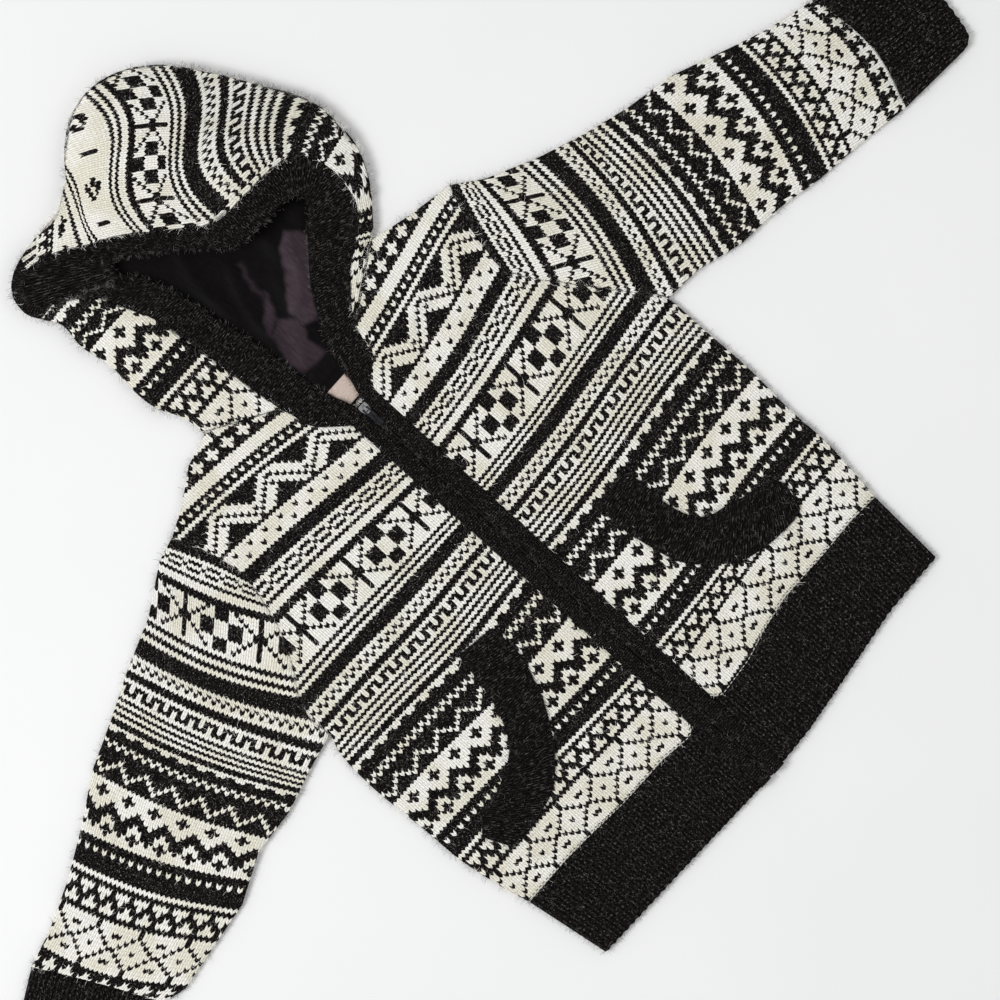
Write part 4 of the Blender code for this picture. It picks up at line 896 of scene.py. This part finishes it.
def rib_sheet(node, low_line, high_line, ribs, rows, below=False, rim=RIM["front"]):
    """A shell of ribs that run from one line to the other, on a solid whose own ribs it follows."""
    share = np.append((np.arange(ribs)[:, None] + RIB_PLACES[None, :]).ravel() / ribs, 1.0)
    level = np.linspace(0, 1, rows + 1)
    low, high = np.array(low_line, float), np.array(high_line, float)

    def on(line):
        steps = np.append(0, np.cumsum(np.hypot(*np.diff(line, axis=0).T)))
        return [np.interp(share * steps[-1], steps, line[:, k]) for k in (0, 1)]

    (low_x, low_y), (high_x, high_y) = on(low), on(high)
    phase = share * ribs
    ridge = np.cos(2 * np.pi * (phase - 0.5))
    level = level[:, None] + SCALLOP * (1 - ridge)[None, :] * (1 - level[:, None])
    x = low_x[None, :] + level * (high_x - low_x)[None, :]
    y = low_y[None, :] + level * (high_y - low_y)[None, :]
    z = heights_on(node, x, y, below)
    if below:
        z = np.maximum(z, 0) + BACK_RIB_RISE * (1 - ridge)[None, :]
    else:
        row_wave = RIB_ROW_WAVE * np.cos(np.pi * np.arange(rows + 1))
        z = soften(z, 1) + RIB_DEPTH * ridge[None, :] + row_wave[:, None]
        z = z + SWELL["rib"] * sway(x, y)
    keep = np.ones((rows, len(share) - 1), bool)
    uv = np.stack(np.broadcast_arrays(phase[None, :], level * rows / 2), axis=-1)
    return shell_parts(metres(x, y, z), keep, keep, uv, rim, flip=below)


def band_strip(node, pairs, pitch, across, rim, spread=0.0, swell=0.0):
    """A band with fine ridges across it, between the sewn edge and the free edge of each pair of points.

    spread widens it past both edges, and swell raises its middle.
    """
    sewn = np.array(smooth_line([p[0] for p in pairs]))
    free = np.array(smooth_line([p[1] for p in pairs]))
    middle = (sewn + free) / 2
    steps = np.append(0, np.cumsum(np.hypot(*np.diff(middle, axis=0).T)))
    count = int(steps[-1] / pitch * 4)
    at = np.linspace(0, steps[-1], count + 1)
    share = (1 - np.cos(np.linspace(0, np.pi, across + 1))) / 2

    def on(line):
        return [np.interp(at, steps, line[:, k])[:, None] for k in (0, 1)]

    (sx, sy), (fx, fy) = on(sewn), on(free)
    wide = np.hypot(fx - sx, fy - sy)
    wider = share[None, :] + spread * (2 * share[None, :] - 1) / wide
    x = sx + wider * (fx - sx)
    y = sy + wider * (fy - sy)
    z = soften(heights_on(node, x, y), 2)
    ridge = -np.cos(2 * np.pi * at / pitch)
    fade = np.sin(np.pi * np.clip(share, 0.02, 0.98)) ** 0.5
    z = z + (BAND_DEPTH * ridge[:, None] + swell) * fade[None, :] + SWELL["band"] * sway(x, y)
    keep = np.ones((count, across), bool)
    uv = np.stack(np.broadcast_arrays((at / pitch / 2)[:, None], share[None, :] * 5), axis=-1)
    return shell_parts(metres(x, y, z), keep, keep, uv, rim, flip=flips(pairs))


def flips(pairs):
    """Whether a grid along these pairs would face down."""
    (ax, ay), (bx, by) = pairs[0]
    cx, cy = pairs[1][0]
    return (bx - ax) * (cy - ay) - (by - ay) * (cx - ax) < 0


def dress(piece_name, parts, finish, slot, node):
    """Makes the piece and rides it on the sweater in place of its node."""
    piece = make_mesh(piece_name, *parts, finish, slot)
    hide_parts(node)
    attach(piece, "sweater")
    return piece


def new_material(name):
    """A material with its node tree and its shader."""
    made = bpy.data.materials.new(name)
    made.use_nodes = True
    return made, made.node_tree, made.node_tree.nodes["Principled BSDF"]


def add_node(tree, kind, **values):
    """A new node of a kind, with its settings."""
    node = tree.nodes.new(kind)
    for key, value in values.items():
        setattr(node, key, value)
    return node


def feed(tree, socket, value):
    """Links another socket to an input, or sets the input's value."""
    if isinstance(value, bpy.types.NodeSocket):
        tree.links.new(value, socket)
    else:
        socket.default_value = value


def noise_over(tree, scale, detail=3.0, stretch=(1, 1, 1), over="Object"):
    """Noise on object coordinates or over the UV map, scaled in each direction."""
    coords = add_node(tree, "ShaderNodeTexCoord")
    mapping = add_node(tree, "ShaderNodeMapping")
    mapping.inputs["Scale"].default_value = stretch
    noise = add_node(tree, "ShaderNodeTexNoise")
    noise.inputs["Scale"].default_value = scale
    noise.inputs["Detail"].default_value = detail
    tree.links.new(coords.outputs[over], mapping.inputs["Vector"])
    tree.links.new(mapping.outputs["Vector"], noise.inputs["Vector"])
    return noise.outputs["Fac"]


def ramp(tree, source, stops):
    """The colour that a value has between stops of (place, colour)."""
    node = add_node(tree, "ShaderNodeValToRGB")
    while len(node.color_ramp.elements) < len(stops):
        node.color_ramp.elements.new(0.5)
    for element, (place_on_ramp, colour) in zip(node.color_ramp.elements, stops):
        element.position = place_on_ramp
        element.color = (*colour, 1)
    tree.links.new(source, node.inputs["Fac"])
    return node.outputs["Color"]


def mix_colours(tree, share, first, second, blend="MIX"):
    """Two colours mixed by a share."""
    node = add_node(tree, "ShaderNodeMix", data_type="RGBA", blend_type=blend)
    for key, value in ((0, share), (6, first), (7, second)):
        feed(tree, node.inputs[key], (*value, 1) if isinstance(value, tuple) else value)
    return node.outputs[2]


def multiplied(tree, first, second):
    return mix_colours(tree, 1.0, first, second, "MULTIPLY")


def math_node(tree, operation, first, second=0.0):
    """A sum, product or the like of two numbers."""
    node = add_node(tree, "ShaderNodeMath", operation=operation)
    feed(tree, node.inputs[0], first)
    feed(tree, node.inputs[1], second)
    return node.outputs[0]


def bump_from(tree, height, strength, distance):
    node = add_node(tree, "ShaderNodeBump")
    node.inputs["Strength"].default_value = strength
    node.inputs["Distance"].default_value = distance
    tree.links.new(height, node.inputs["Height"])
    return node.outputs["Normal"]


def yarn_share(tree):
    """The number on the faces: 1 on black yarn, 0 on cream, and the satin's light on the lining."""
    node = add_node(tree, "ShaderNodeAttribute", attribute_name="yarn", attribute_type="GEOMETRY")
    return node.outputs["Fac"]


def groove(tree, number, power):
    """1 where a stitch number is whole, and 0 half way between."""
    away = math_node(tree, "ABSOLUTE", math_node(tree, "SUBTRACT", math_node(tree, "FRACT", number), 0.5))
    return math_node(tree, "POWER", math_node(tree, "MULTIPLY", away, 2.0), power)


def yarn_height(tree, narrowness=3.0, row_depth=0.75):
    """How high the yarn stands at a place in its stitch: 1 along each leg's middle and 0 in the grooves."""
    uv = add_node(tree, "ShaderNodeUVMap", uv_map="stitches")
    parts = add_node(tree, "ShaderNodeSeparateXYZ")
    tree.links.new(uv.outputs["UV"], parts.inputs[0])
    between_legs = groove(tree, math_node(tree, "MULTIPLY", parts.outputs[0], 2.0), narrowness)
    between_rows = math_node(tree, "MULTIPLY", groove(tree, parts.outputs[1], 5.0), row_depth)
    deepest = math_node(tree, "MAXIMUM", between_legs, between_rows)
    return math_node(tree, "SUBTRACT", 1.0, deepest)


def cream_colour(tree, height):
    """Cream yarn, aged in slow patches, with fine fibres and painted shade in the grooves between its legs
    and rows.
    """
    slow = ramp(tree, noise_over(tree, *GRAIN["cream_patches"]), [(0.40, CREAM_AGED), (0.58, CREAM)])
    fine = ramp(tree, noise_over(tree, *GRAIN["cream_fibres"]), [(0.28, FIBRE_SHADE), (0.55, WHITE)])
    # Painted shade darkens the grooves between the legs and rows.
    painted_stitch_shading = ramp(tree, height, [(0.0, GROOVE_PAINTED_SHADE), (0.55, WHITE)])
    return multiplied(tree, multiplied(tree, slow, fine), painted_stitch_shading)


def black_colour(tree, height, fibres):
    """Black yarn with greyed flecks where the noise of its fibres is high, painted shade in its grooves and a
    painted highlight along its legs' crests.
    """
    flecks = ramp(tree, fibres, [(0.47, BLACK), (0.60, BLACK_GREYED), (0.75, BLACK_HAIR)])
    # Painted shade in the grooves and a painted highlight on the legs' crests.
    painted_stitch_shading = ramp(tree, height, [(0.0, BLACK_GROOVE_PAINTED_SHADE), (0.85, BLACK_CREST_PAINTED_HIGHLIGHT)])
    return multiplied(tree, flecks, painted_stitch_shading)


def finish_wool(tree, shader, colour, height):
    """Links a yarn's colour to the shader, and a bump of rounded legs with fine hair over them."""
    hair = math_node(tree, "MULTIPLY", noise_over(tree, *GRAIN["fine_hair"]), BUMP_HAIR)
    bump = bump_from(tree, math_node(tree, "ADD", height, hair), *WOOL_BUMP)
    tree.links.new(colour, shader.inputs["Base Color"])
    tree.links.new(bump, shader.inputs["Normal"])
    shader.inputs["Roughness"].default_value = 1.0
    shader.inputs["Specular IOR Level"].default_value = 0.08


def fair_isle_wool():
    made, tree, shader = new_material("fair_isle_wool")
    height = yarn_height(tree)
    black = black_colour(tree, height, noise_over(tree, *GRAIN["black_fibres"]))
    colour = mix_colours(tree, yarn_share(tree), cream_colour(tree, height), black)
    finish_wool(tree, shader, colour, height)
    return made


def black_rib_wool():
    made, tree, shader = new_material("black_rib_wool")
    height = yarn_height(tree, 1.1, 0.35)
    streaks = noise_over(tree, *GRAIN["rib_streaks"])
    finish_wool(tree, shader, black_colour(tree, height, streaks), height)
    return made


def hair_wool():
    """The loose hairs: cream over cream yarn and greyed over black yarn."""
    made, tree, shader = new_material("hair_wool")
    dark = ramp(tree, noise_over(tree, *GRAIN["loose_hair"]), LOOSE_HAIR)
    colour = mix_colours(tree, yarn_share(tree), CREAM, dark)
    tree.links.new(colour, shader.inputs["Base Color"])
    shader.inputs["Roughness"].default_value = 1.0
    shader.inputs["Specular IOR Level"].default_value = 0.0
    return made


def satin():
    """The lining: near black, and a dim purple where the sheet's light says so."""
    made, tree, shader = new_material("satin_lining")
    weave = noise_over(tree, *GRAIN["satin"])
    shade, bright = ramp(tree, weave, SATIN_DARK), ramp(tree, weave, SATIN_LIT)
    tree.links.new(mix_colours(tree, yarn_share(tree), shade, bright), shader.inputs["Base Color"])
    tree.links.new(bump_from(tree, weave, *SATIN_BUMP), shader.inputs["Normal"])
    shader.inputs["Roughness"].default_value = 0.5
    shader.inputs["Specular IOR Level"].default_value = 0.05
    return made


def grained(name, grain, stops, roughness, specular=0.5, metallic=0.0):
    """A material whose colour varies with fine noise: grain is the noise's scale, detail and stretch."""
    made, tree, shader = new_material(name)
    tree.links.new(ramp(tree, noise_over(tree, *grain), stops), shader.inputs["Base Color"])
    shader.inputs["Roughness"].default_value = roughness
    shader.inputs["Specular IOR Level"].default_value = specular
    shader.inputs["Metallic"].default_value = metallic
    return made


def label_cotton():
    return grained("label_cotton", GRAIN["label"], LABEL_WEAVE, 0.7)


def zip_tape():
    return grained("zip_tape", GRAIN["tape"], TAPE_WEAVE, 0.8, specular=0.1)


def plain_thread(name, colour):
    darker = tuple(0.7 * part for part in colour)
    return grained(name, GRAIN["thread"], [(0.35, darker), (0.65, colour)], 0.8, specular=0.2)


def metal(name, dark, light, roughness):
    return grained(name, GRAIN["metal"], [(0.3, dark), (0.7, light)], roughness, metallic=1.0)


def floor_paper():
    return grained("floor_paper", GRAIN["floor"], FLOOR_GRAIN, 0.9)


def knit_body(wool):
    for side in ("left", "right"):
        node = f"front_{side}"
        parts = knit(node, front_layout(side), *SPANS[node], mirrored=side == "right")
        dress(f"{node}_knit", parts, wool, "fair_isle_knit", node)
    parts = knit("back_panel", back_layout, *SPANS["back"], fine=False, below=True, rim=RIM["back"])
    dress("back_knit", parts, wool, "fair_isle_knit", "back_panel")


def knit_sleeves(wool):
    for side in ("left", "right"):
        node = f"sleeve_{side}"
        layout = sleeve_layout(side)
        top = knit(node, layout, *SPANS["sleeve"], rim=RIM["tube"], mirrored=side == "right")
        under = knit(node, layout, *SPANS["sleeve"], fine=False, below=True, rim=0)
        parts = join_parts([top, under])
        dress(f"{node}_knit", parts, wool, "fair_isle_knit", node)


def knit_hood(wool):
    strip = knit("hood", strip_layout, *SPANS["hood_strip"])
    fan = knit("hood", fan_layout, *SPANS["hood_fan"], softness=8, chart=CROWN_CHART, shift=-1)
    under = knit("hood", hood_back_layout, *SPANS["hood_back"], fine=False, below=True, rim=0)
    parts = join_parts([strip, fan, under])
    dress("hood_knit", parts, wool, "fair_isle_knit", "hood")


def hem_lines(side, count):
    """Points along the hem's bottom edge, and along its join, a gap below it."""
    join_x, low_x = [np.linspace(*ends, count) for ends in HEM_ENDS[side]]
    low = [(x, line_at(HEM_BOTTOM, x)) for x in low_x]
    high = [(x, line_at(HEM_JOIN, x) - RIB_TOP_GAP) for x in join_x]
    return low, high


def rib_hems(wool):
    for side in ("left", "right"):
        node = f"hem_front_{side}"
        parts = rib_sheet(node, *hem_lines(side, 25), RIB_COUNTS[side], RIB_ROWS["hem"])
        dress(f"{node}_rib", parts, wool, "black_rib", node)
    parts = rib_sheet("hem_back", *hem_lines("back", 60), RIB_COUNTS["back"], RIB_ROWS["underside"],
                      below=True, rim=RIM["back"])
    dress("hem_back_rib", parts, wool, "black_rib", "hem_back")


def rib_cuffs(wool):
    for side in ("left", "right"):
        node = f"cuff_{side}"
        seam, end = smooth_line(CUFF_SEAM[side]), smooth_line(CUFF_END[side])
        if side == "left":
            seam, end = seam[::-1], end[::-1]
        top = rib_sheet(node, end, seam, RIB_COUNTS["cuff"], RIB_ROWS["cuff"], rim=RIM["tube"])
        under = rib_sheet(node, end, seam, RIB_COUNTS["cuff"], RIB_ROWS["underside"], below=True, rim=0)
        parts = join_parts([top, under])
        dress(f"{node}_rib", parts, wool, "black_rib", node)


def rib_bands(wool):
    for side in ("left", "right"):
        node = f"zip_band_{side}"
        parts = band_strip(node, ZIP_BANDS[side], BAND_PITCH, 8, RIM["zip_band"], swell=ZIP_BAND_SWELL)
        dress(f"{node}_rib", parts, wool, "black_rib", node)
        node = f"pocket_band_{side}"
        parts = band_strip(node, POCKET_BANDS[side], BAND_PITCH, 12, RIM["pocket_band"], spread=POCKET_SPREAD)
        dress(f"{node}_rib", parts, wool, "black_rib", node)
    band = band_strip("face_band", FACE_BAND, FACE_BAND_PITCH, 12, RIM["face_band"])
    lobe = band_strip("hood", LOBE, FACE_BAND_PITCH, 6, RIM["lobe"])
    parts = join_parts([band, lobe])
    dress("face_band_rib", parts, wool, "black_rib", "face_band")


def inside_ring(ring, x, y):
    """Whether each point lies inside a closed outline."""
    inside = np.zeros(x.shape, bool)
    for (ax, ay), (bx, by) in zip(ring, ring[1:]):
        if ay != by:
            crossed = (ay > y) != (by > y)
            inside ^= crossed & (x < ax + (y - ay) * (bx - ax) / (by - ay))
    return inside


def satin_light(x, y):
    """How bright the satin shows: patches with soft, wavering edges and streaks along the folds."""
    x = x + 1.6 * np.sin(y / 7) + 0.8 * np.sin(y / 2.9 + x / 5)
    y = y + 1.4 * np.sin(x / 8 + 1)
    total = np.zeros_like(x)
    for light in SATIN_LIGHTS:
        ring = light["outline"] + light["outline"][:1]
        near_x, near_y, _ = nearest_on_line(ring, x, y)
        inward = np.where(inside_ring(ring, x, y), 1, -1) * np.hypot(x - near_x, y - near_y)
        total = np.maximum(total, light["share"] * np.clip(0.4 + inward / SATIN_EDGE, 0, 1))
    streaks = 0.86 + 0.14 * np.sin((x - y) / 5.2 + 1.4 * np.sin((x + y) / 17))
    return total * streaks


def line_hood(finish):
    """The satin behind the face, with soft folds and the raised seam of the neck facing."""
    rows = [edge[0] for edge in LINING_EDGES]
    level = np.linspace(rows[0], rows[-1], LINING_STEPS[0])
    share = np.linspace(0, 1, LINING_STEPS[1])
    left = np.interp(level, rows, [edge[1] for edge in LINING_EDGES])[:, None]
    right = np.interp(level, rows, [edge[2] for edge in LINING_EDGES])[:, None]
    x = left + share[None, :] * (right - left)
    y = np.repeat(level[:, None], len(share), axis=1)
    seam_low, seam_high = NECK_TAPE["y"]
    facing = (y > seam_low) & (y < seam_high + 2 * np.sin(x / 9))
    folds = fold_height(LINING_FOLDS, x, y) * np.clip((y - seam_high) / 20, 0, 1)
    z = LINING_HIGH + folds + NECK_TAPE["high"] * facing
    keep = np.ones((len(level) - 1, len(share) - 1), bool)
    uv = np.stack([x / 5, y / 5], axis=-1)
    lit = np.where(y < seam_high, 0, satin_light(x, y))[:-1, :-1]
    parts = shell_parts(metres(x, y, z), keep, lit, uv, 0)
    dress("hood_lining_satin", parts, finish, "satin_lining", "hood_lining")


def sew_label(finish):
    """A blank woven label below the neck seam."""
    steps = np.linspace(0, 1, LABEL["points"])
    u, v = np.meshgrid(steps, steps)
    x = LABEL["corner"][0] + LABEL["size"][0] * u
    y = LABEL["corner"][1] + LABEL["size"][1] * v
    z = LABEL["high"] + LABEL["swell"] * np.sin(np.pi * v) * np.sin(np.pi * u)
    keep = np.ones((len(steps) - 1, len(steps) - 1), bool)
    parts = shell_parts(metres(x, y, z), keep, keep, np.stack([u, v], axis=-1), 0.4)
    dress("neck_label_woven", parts, finish, "label_cotton", "neck_label")


def node_group(name, numbers):
    """A Geometry Nodes group with one geometry input and named number inputs."""
    tree = bpy.data.node_groups.new(name, "GeometryNodeTree")
    tree.interface.new_socket("Geometry", in_out="INPUT", socket_type="NodeSocketGeometry")
    for label, value in numbers.items():
        socket = tree.interface.new_socket(label, in_out="INPUT", socket_type="NodeSocketFloat")
        socket.default_value = value
    tree.interface.new_socket("Geometry", in_out="OUTPUT", socket_type="NodeSocketGeometry")
    return tree, tree.nodes.new("NodeGroupInput"), tree.nodes.new("NodeGroupOutput")


def end_group(tree, geometry, output, finish):
    """Ends a group in real mesh with its material."""
    real = tree.nodes.new("GeometryNodeRealizeInstances")
    coat = tree.nodes.new("GeometryNodeSetMaterial")
    coat.inputs["Material"].default_value = finish
    tree.links.new(geometry, real.inputs[0])
    tree.links.new(real.outputs[0], coat.inputs["Geometry"])
    tree.links.new(coat.outputs[0], output.inputs[0])


def combine(tree, x, y, z):
    """A vector from three numbers or sockets."""
    node = tree.nodes.new("ShaderNodeCombineXYZ")
    for socket, value in zip(node.inputs, (x, y, z)):
        feed(tree, socket, value)
    return node.outputs[0]


def beads_along(finish, bead_size):
    """A group that lays small rounded beads, of a size in millimetres, along the edges of a mesh."""
    numbers = {label.capitalize(): size * MM for label, size in bead_size.items()}
    tree, given, output = node_group("beads_along", numbers)
    curve = tree.nodes.new("GeometryNodeMeshToCurve")
    dots = tree.nodes.new("GeometryNodeCurveToPoints")
    dots.mode = "LENGTH"
    bead = tree.nodes.new("GeometryNodeMeshUVSphere")
    for label, value in (("Segments", 6), ("Rings", 4), ("Radius", 0.5)):
        bead.inputs[label].default_value = value
    lay = tree.nodes.new("GeometryNodeInstanceOnPoints")
    tree.links.new(given.outputs[0], curve.inputs[0])
    tree.links.new(curve.outputs[0], dots.inputs["Curve"])
    tree.links.new(given.outputs["Step"], dots.inputs["Length"])
    tree.links.new(dots.outputs["Points"], lay.inputs["Points"])
    tree.links.new(dots.outputs["Rotation"], lay.inputs["Rotation"])
    tree.links.new(bead.outputs["Mesh"], lay.inputs["Instance"])
    size = combine(tree, given.outputs["Wide"], given.outputs["High"], given.outputs["Long"])
    tree.links.new(size, lay.inputs["Scale"])
    end_group(tree, lay.outputs[0], output, finish)
    return tree


def grown(name, source, tree):
    """The plain mesh that a group makes from a source mesh, as a piece of its own."""
    holder = place(name + "_source", source)
    holder.modifiers.new(name, "NODES").node_group = tree
    bpy.context.view_layer.update()
    seen = holder.evaluated_get(bpy.context.evaluated_depsgraph_get())
    mesh = bpy.data.meshes.new_from_object(seen)
    spots = np.empty(len(mesh.vertices) * 3)
    mesh.vertices.foreach_get("co", spots)
    spots[2::3] = np.maximum(spots[2::3], LEAST_HEIGHT)
    mesh.vertices.foreach_set("co", spots)
    bpy.data.objects.remove(holder)
    piece = place(name, mesh)
    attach(piece, "sweater")
    return piece


def line_mesh(name, lines):
    """A mesh of bare edges along lines of table points."""
    mesh = bpy.data.meshes.new(name)
    points, edges = [], []
    for line in lines:
        edges += [(len(points) + i, len(points) + i + 1) for i in range(len(line) - 1)]
        points += [tuple(metres(*p)) for p in line]
    mesh.from_pydata(points, edges, [])
    return mesh


def sew_hem_join(light, dark):
    """The linking stitches where the hem is joined: a dashed cream line beside a dashed black one."""
    for name, finish, slot in (("cream", light, "fair_isle_knit"), ("black", dark, "black_rib")):
        lines = []
        for x0, x1 in HEM_DASH_SPANS:
            xs = np.linspace(x0, x1, 60)
            ys = line_at(HEM_JOIN, xs) + HEM_DASH_RISES[name]
            node = "front_left" if x0 < 0 else "front_right"
            zs = heights_on(node, xs[None, :], ys[None, :])[0] + HEM_DASH_ABOVE_CLOTH
            lines.append(list(zip(xs, ys, zs)))
        source = line_mesh(f"hem_stitches_{name}_line", lines)
        grown(f"hem_stitches_{name}", source, beads_along(finish, HEM_DASH))


def fibres_over(finish, density, long, seed):
    """A group that scatters short bent fibres over the upper side of a mesh, and more along its rims."""
    numbers = {"Density": density, "Fringe": RIM_FUZZ, "Long": long, "Thick": FIBRE_THICK}
    tree, given, output = node_group("fibres_over", numbers)
    scatter = tree.nodes.new("GeometryNodeDistributePointsOnFaces")
    scatter.inputs["Seed"].default_value = seed
    normal = tree.nodes.new("GeometryNodeInputNormal")
    parts = tree.nodes.new("ShaderNodeSeparateXYZ")
    tree.links.new(normal.outputs[0], parts.inputs[0])
    upward = math_node(tree, "GREATER_THAN", parts.outputs[2], -0.3)
    steep = math_node(tree, "LESS_THAN", parts.outputs[2], 0.35)
    thicker = math_node(tree, "ADD", math_node(tree, "MULTIPLY", steep, given.outputs["Fringe"]), 1.0)
    hairs = math_node(tree, "MULTIPLY", thicker, given.outputs["Density"])
    tree.links.new(given.outputs[0], scatter.inputs["Mesh"])
    tree.links.new(upward, scatter.inputs["Selection"])
    tree.links.new(hairs, scatter.inputs["Density"])
    strip = tree.nodes.new("GeometryNodeMeshGrid")
    for label, value in (("Size X", 1.0), ("Size Y", 1.0), ("Vertices X", 3), ("Vertices Y", 2)):
        strip.inputs[label].default_value = value
    bent = tree.nodes.new("GeometryNodeSetPosition")
    place = tree.nodes.new("GeometryNodeInputPosition")
    spot = tree.nodes.new("ShaderNodeSeparateXYZ")
    tree.links.new(place.outputs[0], spot.inputs[0])
    from_root = math_node(tree, "ADD", spot.outputs[0], 0.5)
    curl = math_node(tree, "MULTIPLY", math_node(tree, "POWER", from_root, 2.0), FIBRE_CURL)
    thick = math_node(tree, "MULTIPLY", spot.outputs[1], given.outputs["Thick"])
    across = math_node(tree, "DIVIDE", thick, given.outputs["Long"])
    lift = math_node(tree, "MULTIPLY", from_root, FIBRE_LIFT)
    tree.links.new(strip.outputs["Mesh"], bent.inputs["Geometry"])
    aside = math_node(tree, "ADD", across, curl)
    tree.links.new(combine(tree, from_root, aside, lift), bent.inputs["Position"])
    turn = tree.nodes.new("FunctionNodeRandomValue")
    turn.data_type = "FLOAT_VECTOR"
    turn.inputs[0].default_value = FIBRE_TURNS[0]
    turn.inputs[1].default_value = FIBRE_TURNS[1]
    vary = tree.nodes.new("FunctionNodeRandomValue")
    vary.inputs[2].default_value = FIBRE_LENGTHS[0]
    vary.inputs[3].default_value = FIBRE_LENGTHS[1]
    lay = tree.nodes.new("GeometryNodeInstanceOnPoints")
    tree.links.new(scatter.outputs["Points"], lay.inputs["Points"])
    tree.links.new(bent.outputs[0], lay.inputs["Instance"])
    tree.links.new(turn.outputs[0], lay.inputs["Rotation"])
    size = math_node(tree, "MULTIPLY", vary.outputs[1], given.outputs["Long"])
    tree.links.new(size, lay.inputs["Scale"])
    end_group(tree, lay.outputs[0], output, finish)
    return tree


def raise_fuzz(finish):
    """Loose hairs over the knit and the ribs."""
    for kind, hair in FUZZ.items():
        sources = [thing for thing in bpy.context.scene.objects if thing.name.endswith("_" + kind)]
        sources = [thing for thing in sources if not thing.name.startswith(("back", "hem_back"))]
        for seed, thing in enumerate(sources):
            tree = fibres_over(finish, hair["density"], hair["long"] * MM, seed)
            grown(f"{thing.name}_fuzz", thing.data.copy(), tree)


def set_zip_teeth(finish):
    """The closed row of teeth in the slit between the zip bands."""
    source = line_mesh("zip_teeth_line", [ZIP_TEETH_LINE])
    grown("zip_teeth", source, beads_along(finish, ZIP_TOOTH))


def place_camera():
    """Straight above, turned as in the photograph."""
    data = bpy.data.cameras.new("camera")
    data.sensor_width = SENSOR_WIDE
    data.lens = SENSOR_WIDE * CAMERA["distance"] / CAMERA["width"]
    camera = place("camera", data)
    x, y = CAMERA["centre"]
    camera.location = (x * MM, (y - ORIGIN_Y) * MM, CAMERA["distance"])
    camera.rotation_euler = (0, 0, math.radians(CAMERA["turn"]))
    bpy.context.scene.camera = camera


def hang_light(light):
    """A round soft light that is turned to the sweater."""
    data = bpy.data.lights.new(light["name"], "AREA")
    data.shape = "DISK"
    data.size = light["size"]
    data.energy = light["power"]
    lamp = place(light["name"], data)
    lamp.location = light["at"]
    way = Vector(LIT_PLACE) - Vector(light["at"])
    lamp.rotation_euler = way.to_track_quat("-Z", "Y").to_euler()


def light_room():
    for light in LIGHTS:
        hang_light(light)
    world = bpy.data.worlds.new("room")
    world.use_nodes = True
    backdrop = world.node_tree.nodes["Background"]
    backdrop.inputs["Color"].default_value = (*WHITE, 1)
    backdrop.inputs["Strength"].default_value = ROOM_LIGHT
    bpy.context.scene.world = world
    bpy.context.scene.view_settings.view_transform = "Standard"


def lay_floor():
    mesh = bpy.data.meshes.new("floor")
    corners = [(x * FLOOR_HALF, y * FLOOR_HALF, 0) for x, y in ((-1, -1), (1, -1), (1, 1), (-1, 1))]
    mesh.from_pydata(corners, [], [(0, 1, 2, 3)])
    mesh.materials.append(floor_paper())
    place("floor", mesh)


def finish_zip():
    """Gives the zip's own CAD nodes their materials."""
    tape = zip_tape()
    bright = metal("zip_metal", *NICKEL, 0.32)
    dark = metal("pull_metal", *BLACKENED, 0.45)
    for node, made in (("zip_chain", tape), ("zip_slider", bright), ("zip_pull", dark)):
        mesh = frame["nodes"][node].data
        mesh.materials.clear()
        mesh.materials.append(made)


def main():
    place_camera()
    light_room()
    lay_floor()
    wool = fair_isle_wool()
    rib = black_rib_wool()
    knit_body(wool)
    knit_sleeves(wool)
    knit_hood(wool)
    rib_hems(rib)
    rib_cuffs(rib)
    rib_bands(rib)
    line_hood(satin())
    sew_label(label_cotton())
    finish_zip()
    sew_hem_join(plain_thread("cream_thread", CREAM_THREAD), plain_thread("black_thread", BLACK_THREAD))
    set_zip_teeth(plain_thread("tooth_black", TOOTH_BLACK))
    raise_fuzz(hair_wool())


main()
